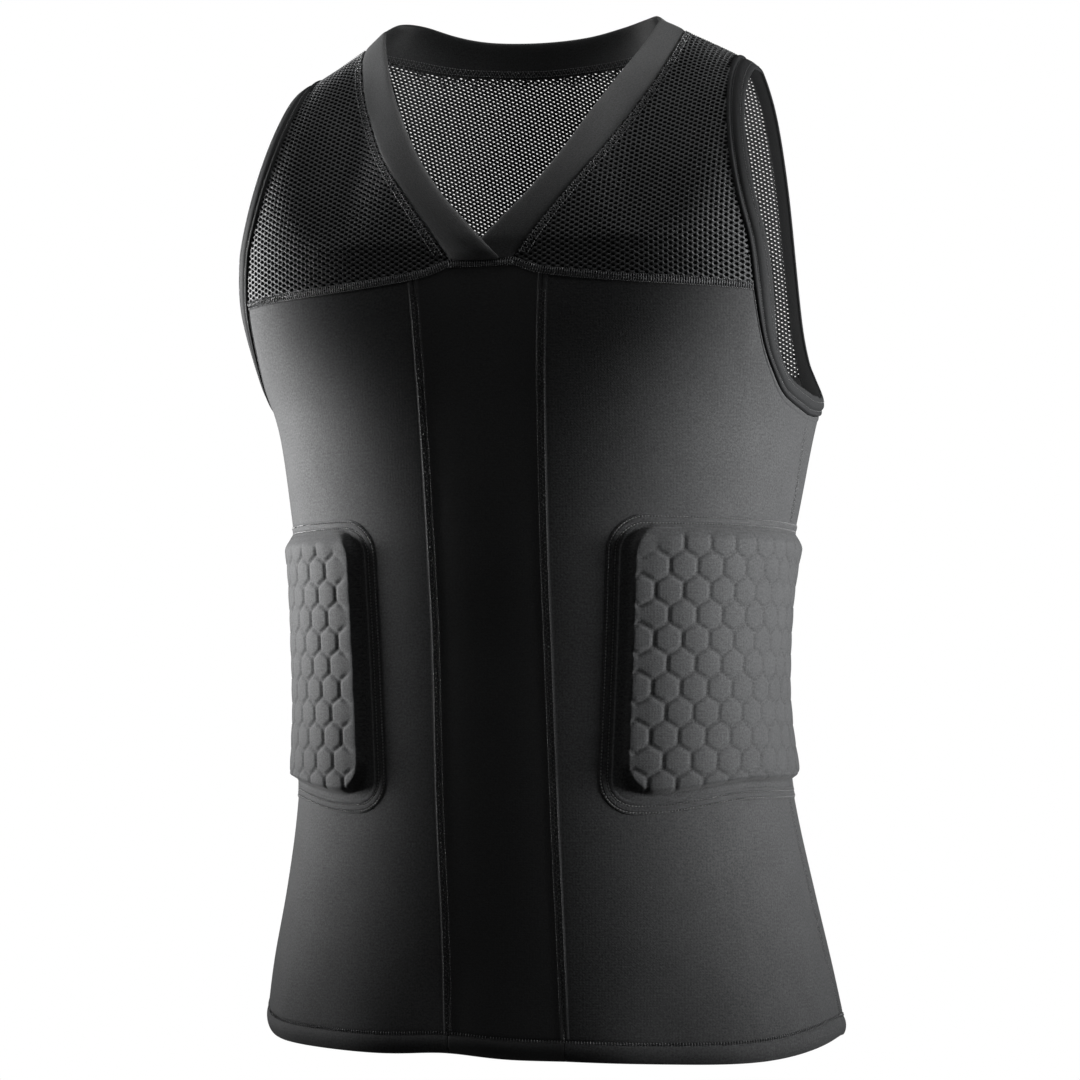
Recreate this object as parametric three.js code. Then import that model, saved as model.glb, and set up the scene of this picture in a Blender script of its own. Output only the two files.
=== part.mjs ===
// A sleeveless compression top with a lapped V neck, mesh shoulders and a foam pad round each side
// of the ribs, in the form it keeps when it is worn. Millimetres, +Z up: the front faces -Y and +X
// is the wearer's left. The origin lies midway between the straps, level with their tops.
import * as THREE from "three";

// Cloth thicknesses, the widths of the edgings and the gap left at every seam.
const KNIT_THICKNESS = 1.2;
const MESH_THICKNESS = 1.0;
const HEM_THICKNESS = 2.4;
const HEM_HEIGHT = 13;
const HEM_STEP = 0.5;
const BAND_THICKNESS = 2.4;
const BINDING_THICKNESS = 2.2;
const EDGING_LIFT = 0.5;
const SEAM_GAP = 0.4;

// The body that the cloth is stretched over, a row for each level: half its width, how far back its
// widest line lies, its front and back, and how square the section is (2 is an ellipse).
const BODY = [
  { z: -150, half: 200, side: 66, front: -88, back: 150, square: 4.0 },
  { z: -185, half: 196, side: 69, front: -87, back: 151, square: 4.0 },
  { z: -230, half: 187, side: 73, front: -84, back: 152, square: 3.2 },
  { z: -261, half: 179, side: 71, front: -82, back: 152, square: 2.8 },
  { z: -314, half: 172, side: 58, front: -80, back: 147, square: 2.4 },
  { z: -361, half: 165, side: 47, front: -78, back: 140, square: 2.3 },
  { z: -407, half: 162, side: 43, front: -75, back: 134, square: 2.3 },
  { z: -454, half: 162, side: 47, front: -74, back: 132, square: 2.3 },
  { z: -514, half: 169, side: 61, front: -73, back: 138, square: 2.3 },
  { z: -567, half: 179, side: 70, front: -72, back: 145, square: 2.3 },
  { z: -621, half: 191, side: 75, front: -71, back: 151, square: 2.3 },
  { z: -680, half: 203, side: 88, front: -70, back: 156, square: 2.3 },
];
const FRONT_LEVEL = -150;
const BACK_LEVEL = -245;

// The top line of the shoulders, with the roundness of the slope in front of it (1 is straight).
const SHOULDER = [
  { x: 0, y: -5, z: 35, slope: 1.25 },
  { x: 60, y: -5, z: 18, slope: 1.25 },
  { x: 95, y: -2, z: 3, slope: 1.12 },
  { x: 111, y: 3, z: -4, slope: 1.2 },
  { x: 144, y: 14, z: -20, slope: 1.6 },
  { x: 163, y: 18, z: -33, slope: 1.8 },
  { x: 185, y: 20, z: -55, slope: 1.9 },
];
const BACK_SLOPE = 1.45;

// The front of the neck on the wearer's left, from the foot of the V up to the shoulder: the seam of
// the band and its free edge.
const NECK_FRONT = [
  { seamX: 21, seamZ: -163, edgeX: -14, edgeZ: -163 },
  { seamX: 38, seamZ: -140, edgeX: 10, edgeZ: -138 },
  { seamX: 57, seamZ: -115, edgeX: 31, edgeZ: -115 },
  { seamX: 75, seamZ: -90, edgeX: 49, edgeZ: -90 },
  { seamX: 89, seamZ: -65, edgeX: 64, edgeZ: -64 },
  { seamX: 101, seamZ: -40, edgeX: 78, edgeZ: -38 },
  { seamX: 109, seamZ: -16, edgeX: 90, edgeZ: -13 },
  { seamX: 111, seamZ: -4, edgeX: 95, edgeZ: 3 },
];

// The back of the neck, from the shoulder to the centre: here the band stands up off the back.
const NECK_BACK = [
  { seamX: 111, seamZ: -4, edgeX: 95, edgeY: -2, edgeZ: 3 },
  { seamX: 105, seamZ: -9, edgeX: 90, edgeY: 11, edgeZ: 9 },
  { seamX: 92, seamZ: -13, edgeX: 79, edgeY: 25, edgeZ: 10 },
  { seamX: 68, seamZ: -17, edgeX: 59, edgeY: 38, edgeZ: 8 },
  { seamX: 36, seamZ: -19, edgeX: 32, edgeY: 47, edgeZ: 5 },
  { seamX: 0, seamZ: -20, edgeX: 0, edgeY: 50, edgeZ: 4 },
];
const LAP_LENGTH = 70;

// The left armhole, from the side seam under the arm to the top of the shoulder: the seam of the
// binding and its free edge, each as a turn in degrees from the centre front and a height.
const ARM_FRONT = [
  { seamTurn: 88, seamZ: -254, edgeTurn: 88, edgeZ: -241 },
  { seamTurn: 72.5, seamZ: -246, edgeTurn: 77, edgeZ: -235 },
  { seamTurn: 63, seamZ: -230, edgeTurn: 70, edgeZ: -224 },
  { seamTurn: 56, seamZ: -211, edgeTurn: 65, edgeZ: -209 },
  { seamTurn: 49, seamZ: -182, edgeTurn: 61, edgeZ: -182 },
  { seamTurn: 45, seamZ: -152, edgeTurn: 56, edgeZ: -152 },
  { seamTurn: 40.5, seamZ: -124, edgeTurn: 50.5, edgeZ: -124 },
  { seamTurn: 36.5, seamZ: -92, edgeTurn: 45.5, edgeZ: -92 },
  { seamTurn: 33, seamZ: -52, edgeTurn: 42, edgeZ: -60 },
  { seamTurn: 31.2, seamZ: -20, edgeTurn: 41.3, edgeZ: -35 },
];
const ARM_BACK = [
  { seamTurn: 88, seamZ: -254, edgeTurn: 88, edgeZ: -241 },
  { seamTurn: 101, seamZ: -251, edgeTurn: 101, edgeZ: -237 },
  { seamTurn: 113, seamZ: -244, edgeTurn: 109, edgeZ: -229 },
  { seamTurn: 121, seamZ: -233, edgeTurn: 114, edgeZ: -221 },
  { seamTurn: 125, seamZ: -221, edgeTurn: 118, edgeZ: -211 },
  { seamTurn: 128.5, seamZ: -190, edgeTurn: 121.3, edgeZ: -188 },
  { seamTurn: 129.7, seamZ: -145, edgeTurn: 122.5, edgeZ: -146 },
  { seamTurn: 129.7, seamZ: -95, edgeTurn: 122, edgeZ: -98 },
  { seamTurn: 131, seamZ: -50, edgeTurn: 121.5, edgeZ: -56 },
  { seamTurn: 134.8, seamZ: -20, edgeTurn: 122.2, edgeZ: -35 },
];
const SIDE_TURN = 88;
const YOKE_ROW = 4;
const UNDERARM_PLACES = [0, 0.5, 1, 1.5, 2, 3, 4];
const BINDING_START = 0.04;

// The yoke seam across the chest, the seam under the mesh of the back, and the two seams that run
// down the front, which drift to the wearer's left towards the hem.
const YOKE_SEAM = [
  { x: 0, z: -163.5 },
  { x: 11, z: -163.5 },
  { x: 21, z: -164 },
  { x: 44, z: -174 },
  { x: 100, z: -179 },
  { x: 170, z: -182 },
];
const BACK_SEAM_DIP = 6;
const CENTRE_SEAMS = [
  { z: -174, right: -46, left: 41 },
  { z: -255, right: -41, left: 38 },
  { z: -378, right: -35, left: 39 },
  { z: -506, right: -32, left: 43 },
  { z: -601, right: -28, left: 47 },
  { z: -680, right: -27, left: 50 },
];
const HEM_LEVEL = -670.5;
const HEM_TILT = 4;
const HEM_SIDE_RISE = 7;

// A rib pad: a stitched flange round a raised field of foam. Its start is measured round the body
// from the centre front.
const PAD = {
  start: 76, width: 206, top: -325, bottom: -521, corner: 24,
  clearance: 0.9, flange: 1.4, border: 11, slope: 7, height: 7.6,
};

// How many strips each grid of cloth is divided into, and how they crowd towards neck and shoulder.
const STRIPS = {
  panelDown: 16, centreAcross: 6, chestSeam: 9, backSeam: 4,
  yokeAcross: 9, yokeDown: 12, strap: 4, backDown: 11,
  neckFront: 16, neckBack: 8, bandAcross: 2, bindingUpper: 8, padAcross: 12, padDown: 6,
};
const CROWDING = 1.25;
const STRAP_SHARE = 0.28;
const HALVINGS = 30;
const SETTLING_PASSES = 6;
const RADIANS = Math.PI / 180;

function mix(a, b, share) {
  return a + (b - a) * share;
}

// Runs a smooth curve through the rows of a table and reads every column at a place counted in rows.
function readAt(rows, place, columns = Object.keys(rows[0])) {
  const last = rows.length - 1;
  const i = Math.min(Math.max(Math.floor(place), 0), last - 1);
  const t = Math.min(Math.max(place - i, 0), 1);
  const result = {};
  for (const column of columns) {
    const value = (row) => rows[Math.min(Math.max(row, 0), last)][column];
    const leave = (value(i + 1) - value(i - 1)) / 2;
    const arrive = (value(i + 2) - value(i)) / 2;
    const step = value(i + 1) - value(i);
    const bend = leave + arrive - 2 * step;
    result[column] = value(i) + t * (leave + t * (step - leave - bend + t * bend));
  }
  return result;
}

// Reads a table where one of its columns has a given value, closing in on the place by halves.
function readWhere(rows, column, value) {
  const rising = rows.at(-1)[column] > rows[0][column] ? 1 : -1;
  let low = 0;
  let high = rows.length - 1;
  for (let step = 0; step < HALVINGS; step++) {
    const middle = (low + high) / 2;
    const before = rising * (readAt(rows, middle, [column])[column] - value) < 0;
    low = before ? middle : low;
    high = before ? high : middle;
  }
  return readAt(rows, low);
}

// Depth of the front or back of the body at a place seen from the front. Above its level each half
// closes over to the top of the shoulder.
function depthAt(half, x, z) {
  const level = half === "front" ? FRONT_LEVEL : BACK_LEVEL;
  const body = readWhere(BODY, "z", Math.min(z, level));
  const across = Math.min(Math.abs(x) / body.half, 1);
  const chest = mix(body.side, body[half], (1 - across ** body.square) ** (1 / body.square));
  if (z <= level) return chest;
  const shoulder = readWhere(SHOULDER, "x", Math.abs(x));
  const slope = half === "front" ? shoulder.slope : BACK_SLOPE;
  const fall = Math.min(Math.max((shoulder.z - z) / (shoulder.z - level), 0), 1);
  return mix(shoulder.y, chest, (1 - (1 - fall) ** slope) ** (1 / slope));
}

function pointOn(half, x, z) {
  return new THREE.Vector3(x, depthAt(half, x, z), z);
}

function shoulderPoint(x) {
  const shoulder = readWhere(SHOULDER, "x", Math.abs(x));
  return new THREE.Vector3(x, shoulder.y, shoulder.z);
}

// A point of the body at a turn from the centre front, positive towards the wearer's left.
function pointAtTurn(turn, z) {
  const half = Math.abs(turn) <= 90 ? "front" : "back";
  const body = readWhere(BODY, "z", half === "front" ? z : Math.min(z, BACK_LEVEL));
  const across = Math.abs(Math.sin(turn * RADIANS)) ** (2 / body.square);
  return pointOn(half, Math.sign(turn) * body.half * across, z);
}

// The levels are walked in small turns, to measure a place by its way round the cloth.
const WALK_STEP = 2;
const LEVELS_PER_MM = 4;
const walks = new Map();

function walkAt(z) {
  const level = Math.round(z * LEVELS_PER_MM) / LEVELS_PER_MM;
  if (!walks.has(level)) {
    const walk = [{ turn: 0, arc: 0 }];
    for (let turn = WALK_STEP; turn <= 180; turn += WALK_STEP) {
      const stride = pointAtTurn(turn, level).distanceTo(pointAtTurn(turn - WALK_STEP, level));
      walk.push({ turn, arc: walk.at(-1).arc + stride });
    }
    walks.set(level, walk);
  }
  return walks.get(level);
}

function arcTo(turn, z) {
  const walk = walkAt(z);
  const i = Math.min(Math.floor(turn / WALK_STEP), walk.length - 2);
  return mix(walk[i].arc, walk[i + 1].arc, turn / WALK_STEP - i);
}

function turnAt(arc, z) {
  const walk = walkAt(z);
  let i = 0;
  while (i < walk.length - 2 && walk[i + 1].arc < arc) i++;
  return mix(walk[i].turn, walk[i + 1].turn, (arc - walk[i].arc) / (walk[i + 1].arc - walk[i].arc));
}

// Height of the hem, which rises at the side seams and hangs lower towards the wearer's left.
function hemAt(turn) {
  const sideways = Math.sin(turn * RADIANS);
  return HEM_LEVEL - HEM_TILT * sideways + HEM_SIDE_RISE * sideways ** 8;
}

// Fills the space between four edges, each a function of its share that gives x and z.
function spanEdges(start, end, top, foot) {
  return (across, down) => {
    const place = {};
    for (const axis of ["x", "z"]) {
      const sides = mix(start(down)[axis], end(down)[axis], across);
      const topBow = top(across)[axis] - mix(top(0)[axis], top(1)[axis], across);
      const footBow = foot(across)[axis] - mix(foot(0)[axis], foot(1)[axis], across);
      place[axis] = sides + mix(topBow, footBow, down);
    }
    return place;
  };
}

// Lays out a grid of points: columns run to the wearer's left round the body, rows run down it.
function layGrid(columns, rows, place) {
  return columns.map((column) => rows.map((row) => place(column, row)));
}

function evenShares(count, power = 1) {
  return Array.from({ length: count + 1 }, (_, i) => (i / count) ** power);
}

// The direction of a line of points at one of them, from a parabola through it and its neighbours.
function tangentAt(line, i, looped) {
  const count = line.length;
  const middle = looped ? i : Math.min(Math.max(i, 1), count - 2);
  const [a, b, c] = [middle - 1, middle, middle + 1].map((k) => line[(k + count) % count]);
  const first = new THREE.Vector3().subVectors(b, a);
  const second = new THREE.Vector3().subVectors(c, b);
  const share = first.length() / (first.length() + second.length());
  const weight = [-share, share, 2 - share][i - middle + 1];
  return first.normalize().lerp(second.normalize(), weight);
}

// The outward direction at each point of a grid. On the shoulder line it leans neither way, so that
// the cloth in front and behind meets squarely.
function gridNormals(grid, looped) {
  return grid.map((column, i) => column.map((point, j) => {
    const along = tangentAt(grid.map((line) => line[j]), i, looped);
    const normal = tangentAt(column, j, false).cross(along);
    const onShoulder = j === 0 && point.distanceTo(shoulderPoint(point.x)) < 0.01;
    return (onShoulder && !looped ? normal.setY(0) : normal).normalize();
  }));
}

// Draws the rim of a grid in by half the seam gap, square to the rim, so that neighbours stay apart.
function drawInRim(grid, looped) {
  const lastColumn = grid.length - 1;
  const lastRow = grid[0].length - 1;
  const pull = (point, inside, before, next) => {
    const along = new THREE.Vector3().subVectors(next, before).normalize();
    const inward = new THREE.Vector3().subVectors(inside, point);
    return inward.addScaledVector(along, -inward.dot(along)).setLength(SEAM_GAP / 2);
  };
  return grid.map((column, i) => column.map((point, j) => {
    const moved = point.clone();
    const above = column[Math.max(j - 1, 0)];
    const below = column[Math.min(j + 1, lastRow)];
    const before = looped ? grid.at(i - 1)[j] : grid[Math.max(i - 1, 0)][j];
    const next = looped ? grid[(i + 1) % grid.length][j] : grid[Math.min(i + 1, lastColumn)][j];
    if (!looped && i === 0) moved.add(pull(point, next, above, below));
    if (!looped && i === lastColumn) moved.add(pull(point, before, above, below));
    if (j === 0) moved.add(pull(point, below, before, next));
    if (j === lastRow) moved.add(pull(point, above, before, next));
    return moved;
  }));
}

// Closes two like grids, an outer and an inner face, into one solid.
function closeGrids(outer, inner, looped) {
  const columns = outer.length;
  const rows = outer[0].length;
  const positions = [...outer.flat(), ...inner.flat()].flatMap((point) => point.toArray());
  const at = (face, i, j) => face * columns * rows + (i % columns) * rows + j;
  const triangles = [];
  const quad = (a, b, c, d) => triangles.push(a, b, c, a, c, d);
  const spans = looped ? columns : columns - 1;
  for (let i = 0; i < spans; i++) {
    for (let j = 0; j < rows - 1; j++) {
      quad(at(0, i, j), at(0, i, j + 1), at(0, i + 1, j + 1), at(0, i + 1, j));
      quad(at(1, i, j), at(1, i + 1, j), at(1, i + 1, j + 1), at(1, i, j + 1));
    }
    quad(at(0, i, 0), at(0, i + 1, 0), at(1, i + 1, 0), at(1, i, 0));
    quad(at(0, i, rows - 1), at(1, i, rows - 1), at(1, i + 1, rows - 1), at(0, i + 1, rows - 1));
  }
  for (let j = 0; j < rows - 1 && !looped; j++) {
    quad(at(0, 0, j), at(1, 0, j), at(1, 0, j + 1), at(0, 0, j + 1));
    quad(at(0, spans, j), at(0, spans, j + 1), at(1, spans, j + 1), at(1, spans, j));
  }
  const geometry = new THREE.BufferGeometry();
  geometry.setAttribute("position", new THREE.Float32BufferAttribute(positions, 3));
  geometry.setIndex(triangles);
  return geometry;
}

// A wall of cloth under a grid of its outer face. The thickness and the lift off the body may change
// from row to row or column to column.
function clothWall(grid, { thickness, lift = () => 0, looped = false }) {
  const normals = gridNormals(grid, looped);
  const rim = drawInRim(grid, looped);
  const shifted = (offset) => rim.map((column, i) => column.map((point, j) =>
    point.clone().addScaledVector(normals[i][j], offset(i, j))));
  const outer = shifted(lift);
  const inner = shifted((i, j) => lift(i, j) - thickness(i, j));
  return closeGrids(outer, inner, looped);
}

// The same piece for the wearer's right.
function mirrored(geometry) {
  const copy = geometry.clone();
  copy.scale(-1, 1, 1);
  const index = copy.index.array;
  for (let i = 0; i < index.length; i += 3) {
    [index[i + 1], index[i + 2]] = [index[i + 2], index[i + 1]];
  }
  return copy;
}

// The rows of a panel from its top down to the hem, with a step where the hem is turned up inside.
const panelRows = [
  ...evenShares(STRIPS.panelDown).map((share) => ({ share, aboveHem: HEM_HEIGHT })),
  { share: 1, aboveHem: HEM_HEIGHT - HEM_STEP },
  { share: 1, aboveHem: 0 },
];

function panelThickness(i, j) {
  return j > STRIPS.panelDown ? HEM_THICKNESS : KNIT_THICKNESS;
}

function panelHeight(top, hem, row) {
  return mix(top, hem + row.aboveHem, row.share);
}

function centreSeamsAt(z) {
  return readWhere(CENTRE_SEAMS, "z", Math.min(z, CENTRE_SEAMS[0].z));
}

// The dark panel down the middle of the front.
function centrePanel() {
  const place = (across, row) => {
    const topX = mix(CENTRE_SEAMS[0].right, CENTRE_SEAMS[0].left, across);
    const top = readWhere(YOKE_SEAM, "x", Math.abs(topX)).z;
    const z = panelHeight(top, hemAt(0), row);
    const seams = centreSeamsAt(z);
    return pointOn("front", mix(seams.right, seams.left, across), z);
  };
  const grid = layGrid(evenShares(STRIPS.centreAcross), panelRows, place);
  return clothWall(grid, { thickness: panelThickness });
}

// A side panel of the front, from its centre seam to the side seam, below the yoke and the armhole.
function sidePanel(side) {
  const seamColumn = side > 0 ? "left" : "right";
  const seamArc = (z) => {
    const seamX = Math.abs(centreSeamsAt(z)[seamColumn]);
    const body = readWhere(BODY, "z", z);
    return arcTo(Math.asin((seamX / body.half) ** (body.square / 2)) / RADIANS, z);
  };
  const shareOf = (turn, z) => (arcTo(turn, z) - seamArc(z)) / (arcTo(SIDE_TURN, z) - seamArc(z));
  const yokeEnd = ARM_FRONT[YOKE_ROW];
  const yokeShare = shareOf(yokeEnd.seamTurn, yokeEnd.seamZ);
  const tops = evenShares(STRIPS.chestSeam).map((part) => {
    const share = part * yokeShare;
    let z = yokeEnd.seamZ;
    for (let pass = 0; pass < SETTLING_PASSES; pass++) {
      const turn = turnAt(mix(seamArc(z), arcTo(SIDE_TURN, z), share), z);
      z = readWhere(YOKE_SEAM, "x", pointAtTurn(turn, z).x).z;
    }
    return { share, z };
  });
  for (const armPlace of UNDERARM_PLACES.slice(0, -1).reverse()) {
    const arm = readAt(ARM_FRONT, armPlace);
    tops.push({ share: shareOf(arm.seamTurn, arm.seamZ), z: arm.seamZ });
  }
  const place = (top, row) => {
    const z = panelHeight(top.z, hemAt(side * SIDE_TURN * top.share), row);
    return pointAtTurn(turnAt(mix(seamArc(z), arcTo(SIDE_TURN, z), top.share), z), z);
  };
  const wall = clothWall(layGrid(tops, panelRows, place), { thickness: panelThickness });
  return side > 0 ? wall : mirrored(wall);
}

// The plain panel of the back, from side seam to side seam, below the mesh.
function backPanel() {
  const shareOf = (turn, z) =>
    (arcTo(turn, z) - arcTo(SIDE_TURN, z)) / (arcTo(180, z) - arcTo(SIDE_TURN, z));
  const seamEnd = ARM_BACK[YOKE_ROW];
  const seamShare = shareOf(seamEnd.seamTurn, seamEnd.seamZ);
  const half = UNDERARM_PLACES.map((armPlace) => {
    const arm = readAt(ARM_BACK, armPlace);
    return { share: shareOf(arm.seamTurn, arm.seamZ), z: arm.seamZ };
  });
  for (const part of evenShares(STRIPS.backSeam).slice(1)) {
    half.push({ share: mix(seamShare, 1, part), z: backSeamAt(part) });
  }
  const place = ({ share, z: top, side }, row) => {
    const z = panelHeight(top, hemAt(side * mix(SIDE_TURN, 180, share)), row);
    const turn = turnAt(mix(arcTo(SIDE_TURN, z), arcTo(180, z), share), z);
    const point = pointAtTurn(Math.min(turn, 180), z);
    return side > 0 ? point : point.setX(-point.x);
  };
  const left = half.map((top) => ({ ...top, side: 1 }));
  const right = half.slice(0, -1).map((top) => ({ ...top, side: -1 })).reverse();
  return clothWall(layGrid([...left, ...right], panelRows, place), { thickness: panelThickness });
}

// Height of the seam under the back mesh, by the share of the way from the armhole to the centre.
function backSeamAt(share) {
  return ARM_BACK[YOKE_ROW].seamZ - BACK_SEAM_DIP * Math.sin(share * Math.PI / 2);
}

function armSeamPlace(rows, place) {
  const arm = readAt(rows, place);
  const point = pointAtTurn(arm.seamTurn, arm.seamZ);
  return place >= rows.length - 1 ? shoulderPoint(point.x) : point;
}

// A mesh yoke of the front: neck seam, shoulder line, armhole and chest seam bound it.
function yoke() {
  const neckRows = NECK_FRONT.length - 1;
  const armRows = ARM_FRONT.length - 1;
  const neck = (down) => {
    const row = readAt(NECK_FRONT, neckRows * (1 - down));
    return { x: row.seamX, z: row.seamZ };
  };
  const arm = (down) => armSeamPlace(ARM_FRONT, mix(armRows, YOKE_ROW, down));
  const shoulder = (across) => shoulderPoint(mix(neck(0).x, arm(0).x, across));
  const chest = (across) => {
    const x = mix(neck(1).x, arm(1).x, across);
    return { x, z: readWhere(YOKE_SEAM, "x", x).z };
  };
  const span = spanEdges(neck, arm, shoulder, chest);
  const place = (across, down) => {
    if (down === 0) return shoulder(across);
    const { x, z } = span(across, down);
    return pointOn("front", x, z);
  };
  const across = evenShares(STRIPS.yokeAcross, CROWDING);
  const grid = layGrid(across, evenShares(STRIPS.yokeDown, CROWDING), place);
  return clothWall(grid, { thickness: () => MESH_THICKNESS });
}

// The mesh of the upper back, in one piece from armhole to armhole.
function backYoke() {
  const armRows = ARM_BACK.length - 1;
  const neckRows = NECK_BACK.length - 1;
  const arm = (down) => armSeamPlace(ARM_BACK, mix(armRows, YOKE_ROW, down));
  const centre = (down) => ({ x: 0, z: mix(NECK_BACK[neckRows].seamZ, backSeamAt(1), down) });
  const neckShare = 1 - STRAP_SHARE;
  const top = (across) => {
    if (across >= neckShare) {
      const strap = (across - neckShare) / STRAP_SHARE;
      return shoulderPoint(mix(NECK_BACK[0].seamX, arm(0).x, strap));
    }
    const row = readAt(NECK_BACK, neckRows * (1 - across / neckShare));
    return { x: row.seamX, z: row.seamZ };
  };
  const foot = (across) => ({ x: arm(1).x * across, z: backSeamAt(1 - across) });
  const span = spanEdges(centre, arm, top, foot);
  const place = ({ across, side }, down) => {
    const onStrap = down === 0 && across >= neckShare;
    const { x, z } = span(across, down);
    const point = onStrap ? shoulderPoint(top(across).x) : pointOn("back", x, z);
    return point.setX(side * point.x);
  };
  const shares = [
    ...evenShares(STRIPS.neckBack).map((share) => share * neckShare),
    ...evenShares(STRIPS.strap).slice(1).map((share) => mix(neckShare, 1, share)),
  ];
  const left = shares.map((across) => ({ across, side: 1 })).reverse();
  const right = shares.slice(1).map((across) => ({ across, side: -1 }));
  const grid = layGrid([...left, ...right], evenShares(STRIPS.backDown, CROWDING), place);
  return clothWall(grid, { thickness: () => MESH_THICKNESS });
}

// The neck band: one strip whose end on the wearer's right laps over the other at the foot of the V.
function neckBand() {
  const frontRows = NECK_FRONT.length - 1;
  const backRows = NECK_BACK.length - 1;
  const frontStation = (side) => (share) => (across) => {
    const row = readAt(NECK_FRONT, frontRows * share);
    const x = mix(row.seamX, row.edgeX, across);
    const z = mix(row.seamZ, row.edgeZ, across);
    const point = share === 1 ? shoulderPoint(x) : pointOn("front", x, z);
    return point.setX(side * x);
  };
  const backStation = (side) => (share) => (across) => {
    const row = readAt(NECK_BACK, backRows * share);
    const edge = new THREE.Vector3(row.edgeX, row.edgeY, row.edgeZ);
    const point = pointOn("back", row.seamX, row.seamZ).lerp(edge, across);
    return point.setX(side * point.x);
  };
  const frontShares = evenShares(STRIPS.neckFront);
  const backShares = evenShares(STRIPS.neckBack).slice(1);
  const stations = [
    ...frontShares.map(frontStation(-1)),
    ...backShares.map(backStation(-1)),
    ...backShares.slice(0, -1).reverse().map(backStation(1)),
    ...frontShares.slice().reverse().map(frontStation(1)),
  ];
  const grid = layGrid(stations, evenShares(STRIPS.bandAcross), (station, across) => station(across));
  const foot = NECK_FRONT[0].seamZ;
  const lapLift = (i) => {
    const fromEnd = Math.min(Math.max((grid[i][1].z - foot) / LAP_LENGTH, 0), 1);
    const onTop = i < frontShares.length ? 1 : 0;
    return EDGING_LIFT + onTop * (BAND_THICKNESS + SEAM_GAP) * (1 - fromEnd) ** 2;
  };
  return clothWall(grid, { thickness: () => BAND_THICKNESS, lift: lapLift });
}

// A binding round an armhole, a closed loop that starts and ends at the side seam.
function armBinding() {
  const shoulderRow = ARM_FRONT.length - 1;
  const upperShares = evenShares(STRIPS.bindingUpper).slice(1);
  const upperPlaces = upperShares.map((share) => mix(YOKE_ROW, shoulderRow, share));
  const armPlaces = [...UNDERARM_PLACES, ...upperPlaces];
  const loop = [
    ...armPlaces.map((armPlace) => ({ rows: ARM_FRONT, armPlace })),
    ...armPlaces.slice(1, -1).reverse().map((armPlace) => ({ rows: ARM_BACK, armPlace })),
  ];
  const place = ({ rows, armPlace }, across) => {
    const row = readAt(rows, armPlace);
    const turn = mix(row.seamTurn, row.edgeTurn, across);
    const point = pointAtTurn(turn, mix(row.seamZ, row.edgeZ, across));
    return armPlace === shoulderRow ? shoulderPoint(point.x) : point;
  };
  const across = evenShares(STRIPS.bandAcross).map((share) => mix(BINDING_START, 1, share));
  const grid = layGrid(loop, across, place);
  return clothWall(grid, { thickness: () => BINDING_THICKNESS, lift: () => EDGING_LIFT, looped: true });
}

// A rib pad on the left side. Grid places are pulled in at the corners to round the outline, and the
// foam rises inside the stitched border.
function ribPad() {
  const { start, width, top, bottom, corner, clearance, flange, border, slope, height } = PAD;
  const length = top - bottom;
  const gridLines = (size, count) => {
    const foamStart = border + slope;
    const edges = [0, border, border + slope / 2, foamStart];
    const innerShares = evenShares(count).slice(1, -1);
    const inner = innerShares.map((share) => mix(foamStart, size - foamStart, share));
    return [...edges, ...inner, ...edges.map((edge) => size - edge).reverse()];
  };
  const rounded = (across, down) => {
    const a = across - width / 2;
    const b = down - length / 2;
    const pastA = Math.max(Math.abs(a) - (width / 2 - corner), 0);
    const pastB = Math.max(Math.abs(b) - (length / 2 - corner), 0);
    const reach = Math.hypot(pastA, pastB);
    const keep = reach > 0 ? Math.max(pastA, pastB) / reach : 1;
    const fromEdge = pastA > 0 && pastB > 0
      ? corner - Math.max(pastA, pastB)
      : Math.min(width / 2 - Math.abs(a), length / 2 - Math.abs(b));
    return {
      arc: start + width / 2 + Math.sign(a) * (Math.abs(a) - pastA * (1 - keep)),
      z: (top + bottom) / 2 - Math.sign(b) * (Math.abs(b) - pastB * (1 - keep)),
      fromEdge,
    };
  };
  const places = layGrid(gridLines(width, STRIPS.padAcross), gridLines(length, STRIPS.padDown), rounded);
  const grid = places.map((column) => column.map(({ arc, z }) => pointAtTurn(turnAt(arc, z), z)));
  const rise = ({ fromEdge }) => {
    const share = Math.min(Math.max((fromEdge - border) / slope, 0), 1);
    return mix(flange, height, Math.sin(share * Math.PI / 2));
  };
  const lift = (i, j) => clearance + rise(places[i][j]);
  return clothWall(grid, { thickness: (i, j) => rise(places[i][j]), lift });
}

const stretchKnit = new THREE.MeshStandardMaterial({ color: 0x2b2d2e, roughness: 0.75, metalness: 0 });
const centreKnit = new THREE.MeshStandardMaterial({ color: 0x0c0d0d, roughness: 0.8, metalness: 0 });
const openMesh = new THREE.MeshStandardMaterial({ color: 0x141515, roughness: 0.8, metalness: 0 });
const satinBand = new THREE.MeshStandardMaterial({ color: 0x1e1f20, roughness: 0.5, metalness: 0 });
const padKnit = new THREE.MeshStandardMaterial({ color: 0x3a3b3c, roughness: 0.8, metalness: 0 });

const tankTop = new THREE.Group();

function addPiece(name, geometry, material) {
  geometry.computeVertexNormals();
  const piece = new THREE.Mesh(geometry, material);
  piece.name = name;
  tankTop.add(piece);
}

addPiece("centre_panel", centrePanel(), centreKnit);
addPiece("side_panel_left", sidePanel(1), stretchKnit);
addPiece("side_panel_right", sidePanel(-1), stretchKnit);
addPiece("back_panel", backPanel(), stretchKnit);
addPiece("yoke_left", yoke(), openMesh);
addPiece("yoke_right", mirrored(yoke()), openMesh);
addPiece("back_yoke", backYoke(), openMesh);
addPiece("neck_band", neckBand(), satinBand);
addPiece("armhole_binding_left", armBinding(), satinBand);
addPiece("armhole_binding_right", mirrored(armBinding()), satinBand);
addPiece("rib_pad_left", ribPad(), padKnit);
addPiece("rib_pad_right", mirrored(ribPad()), padKnit);

export default tankTop;
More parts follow.
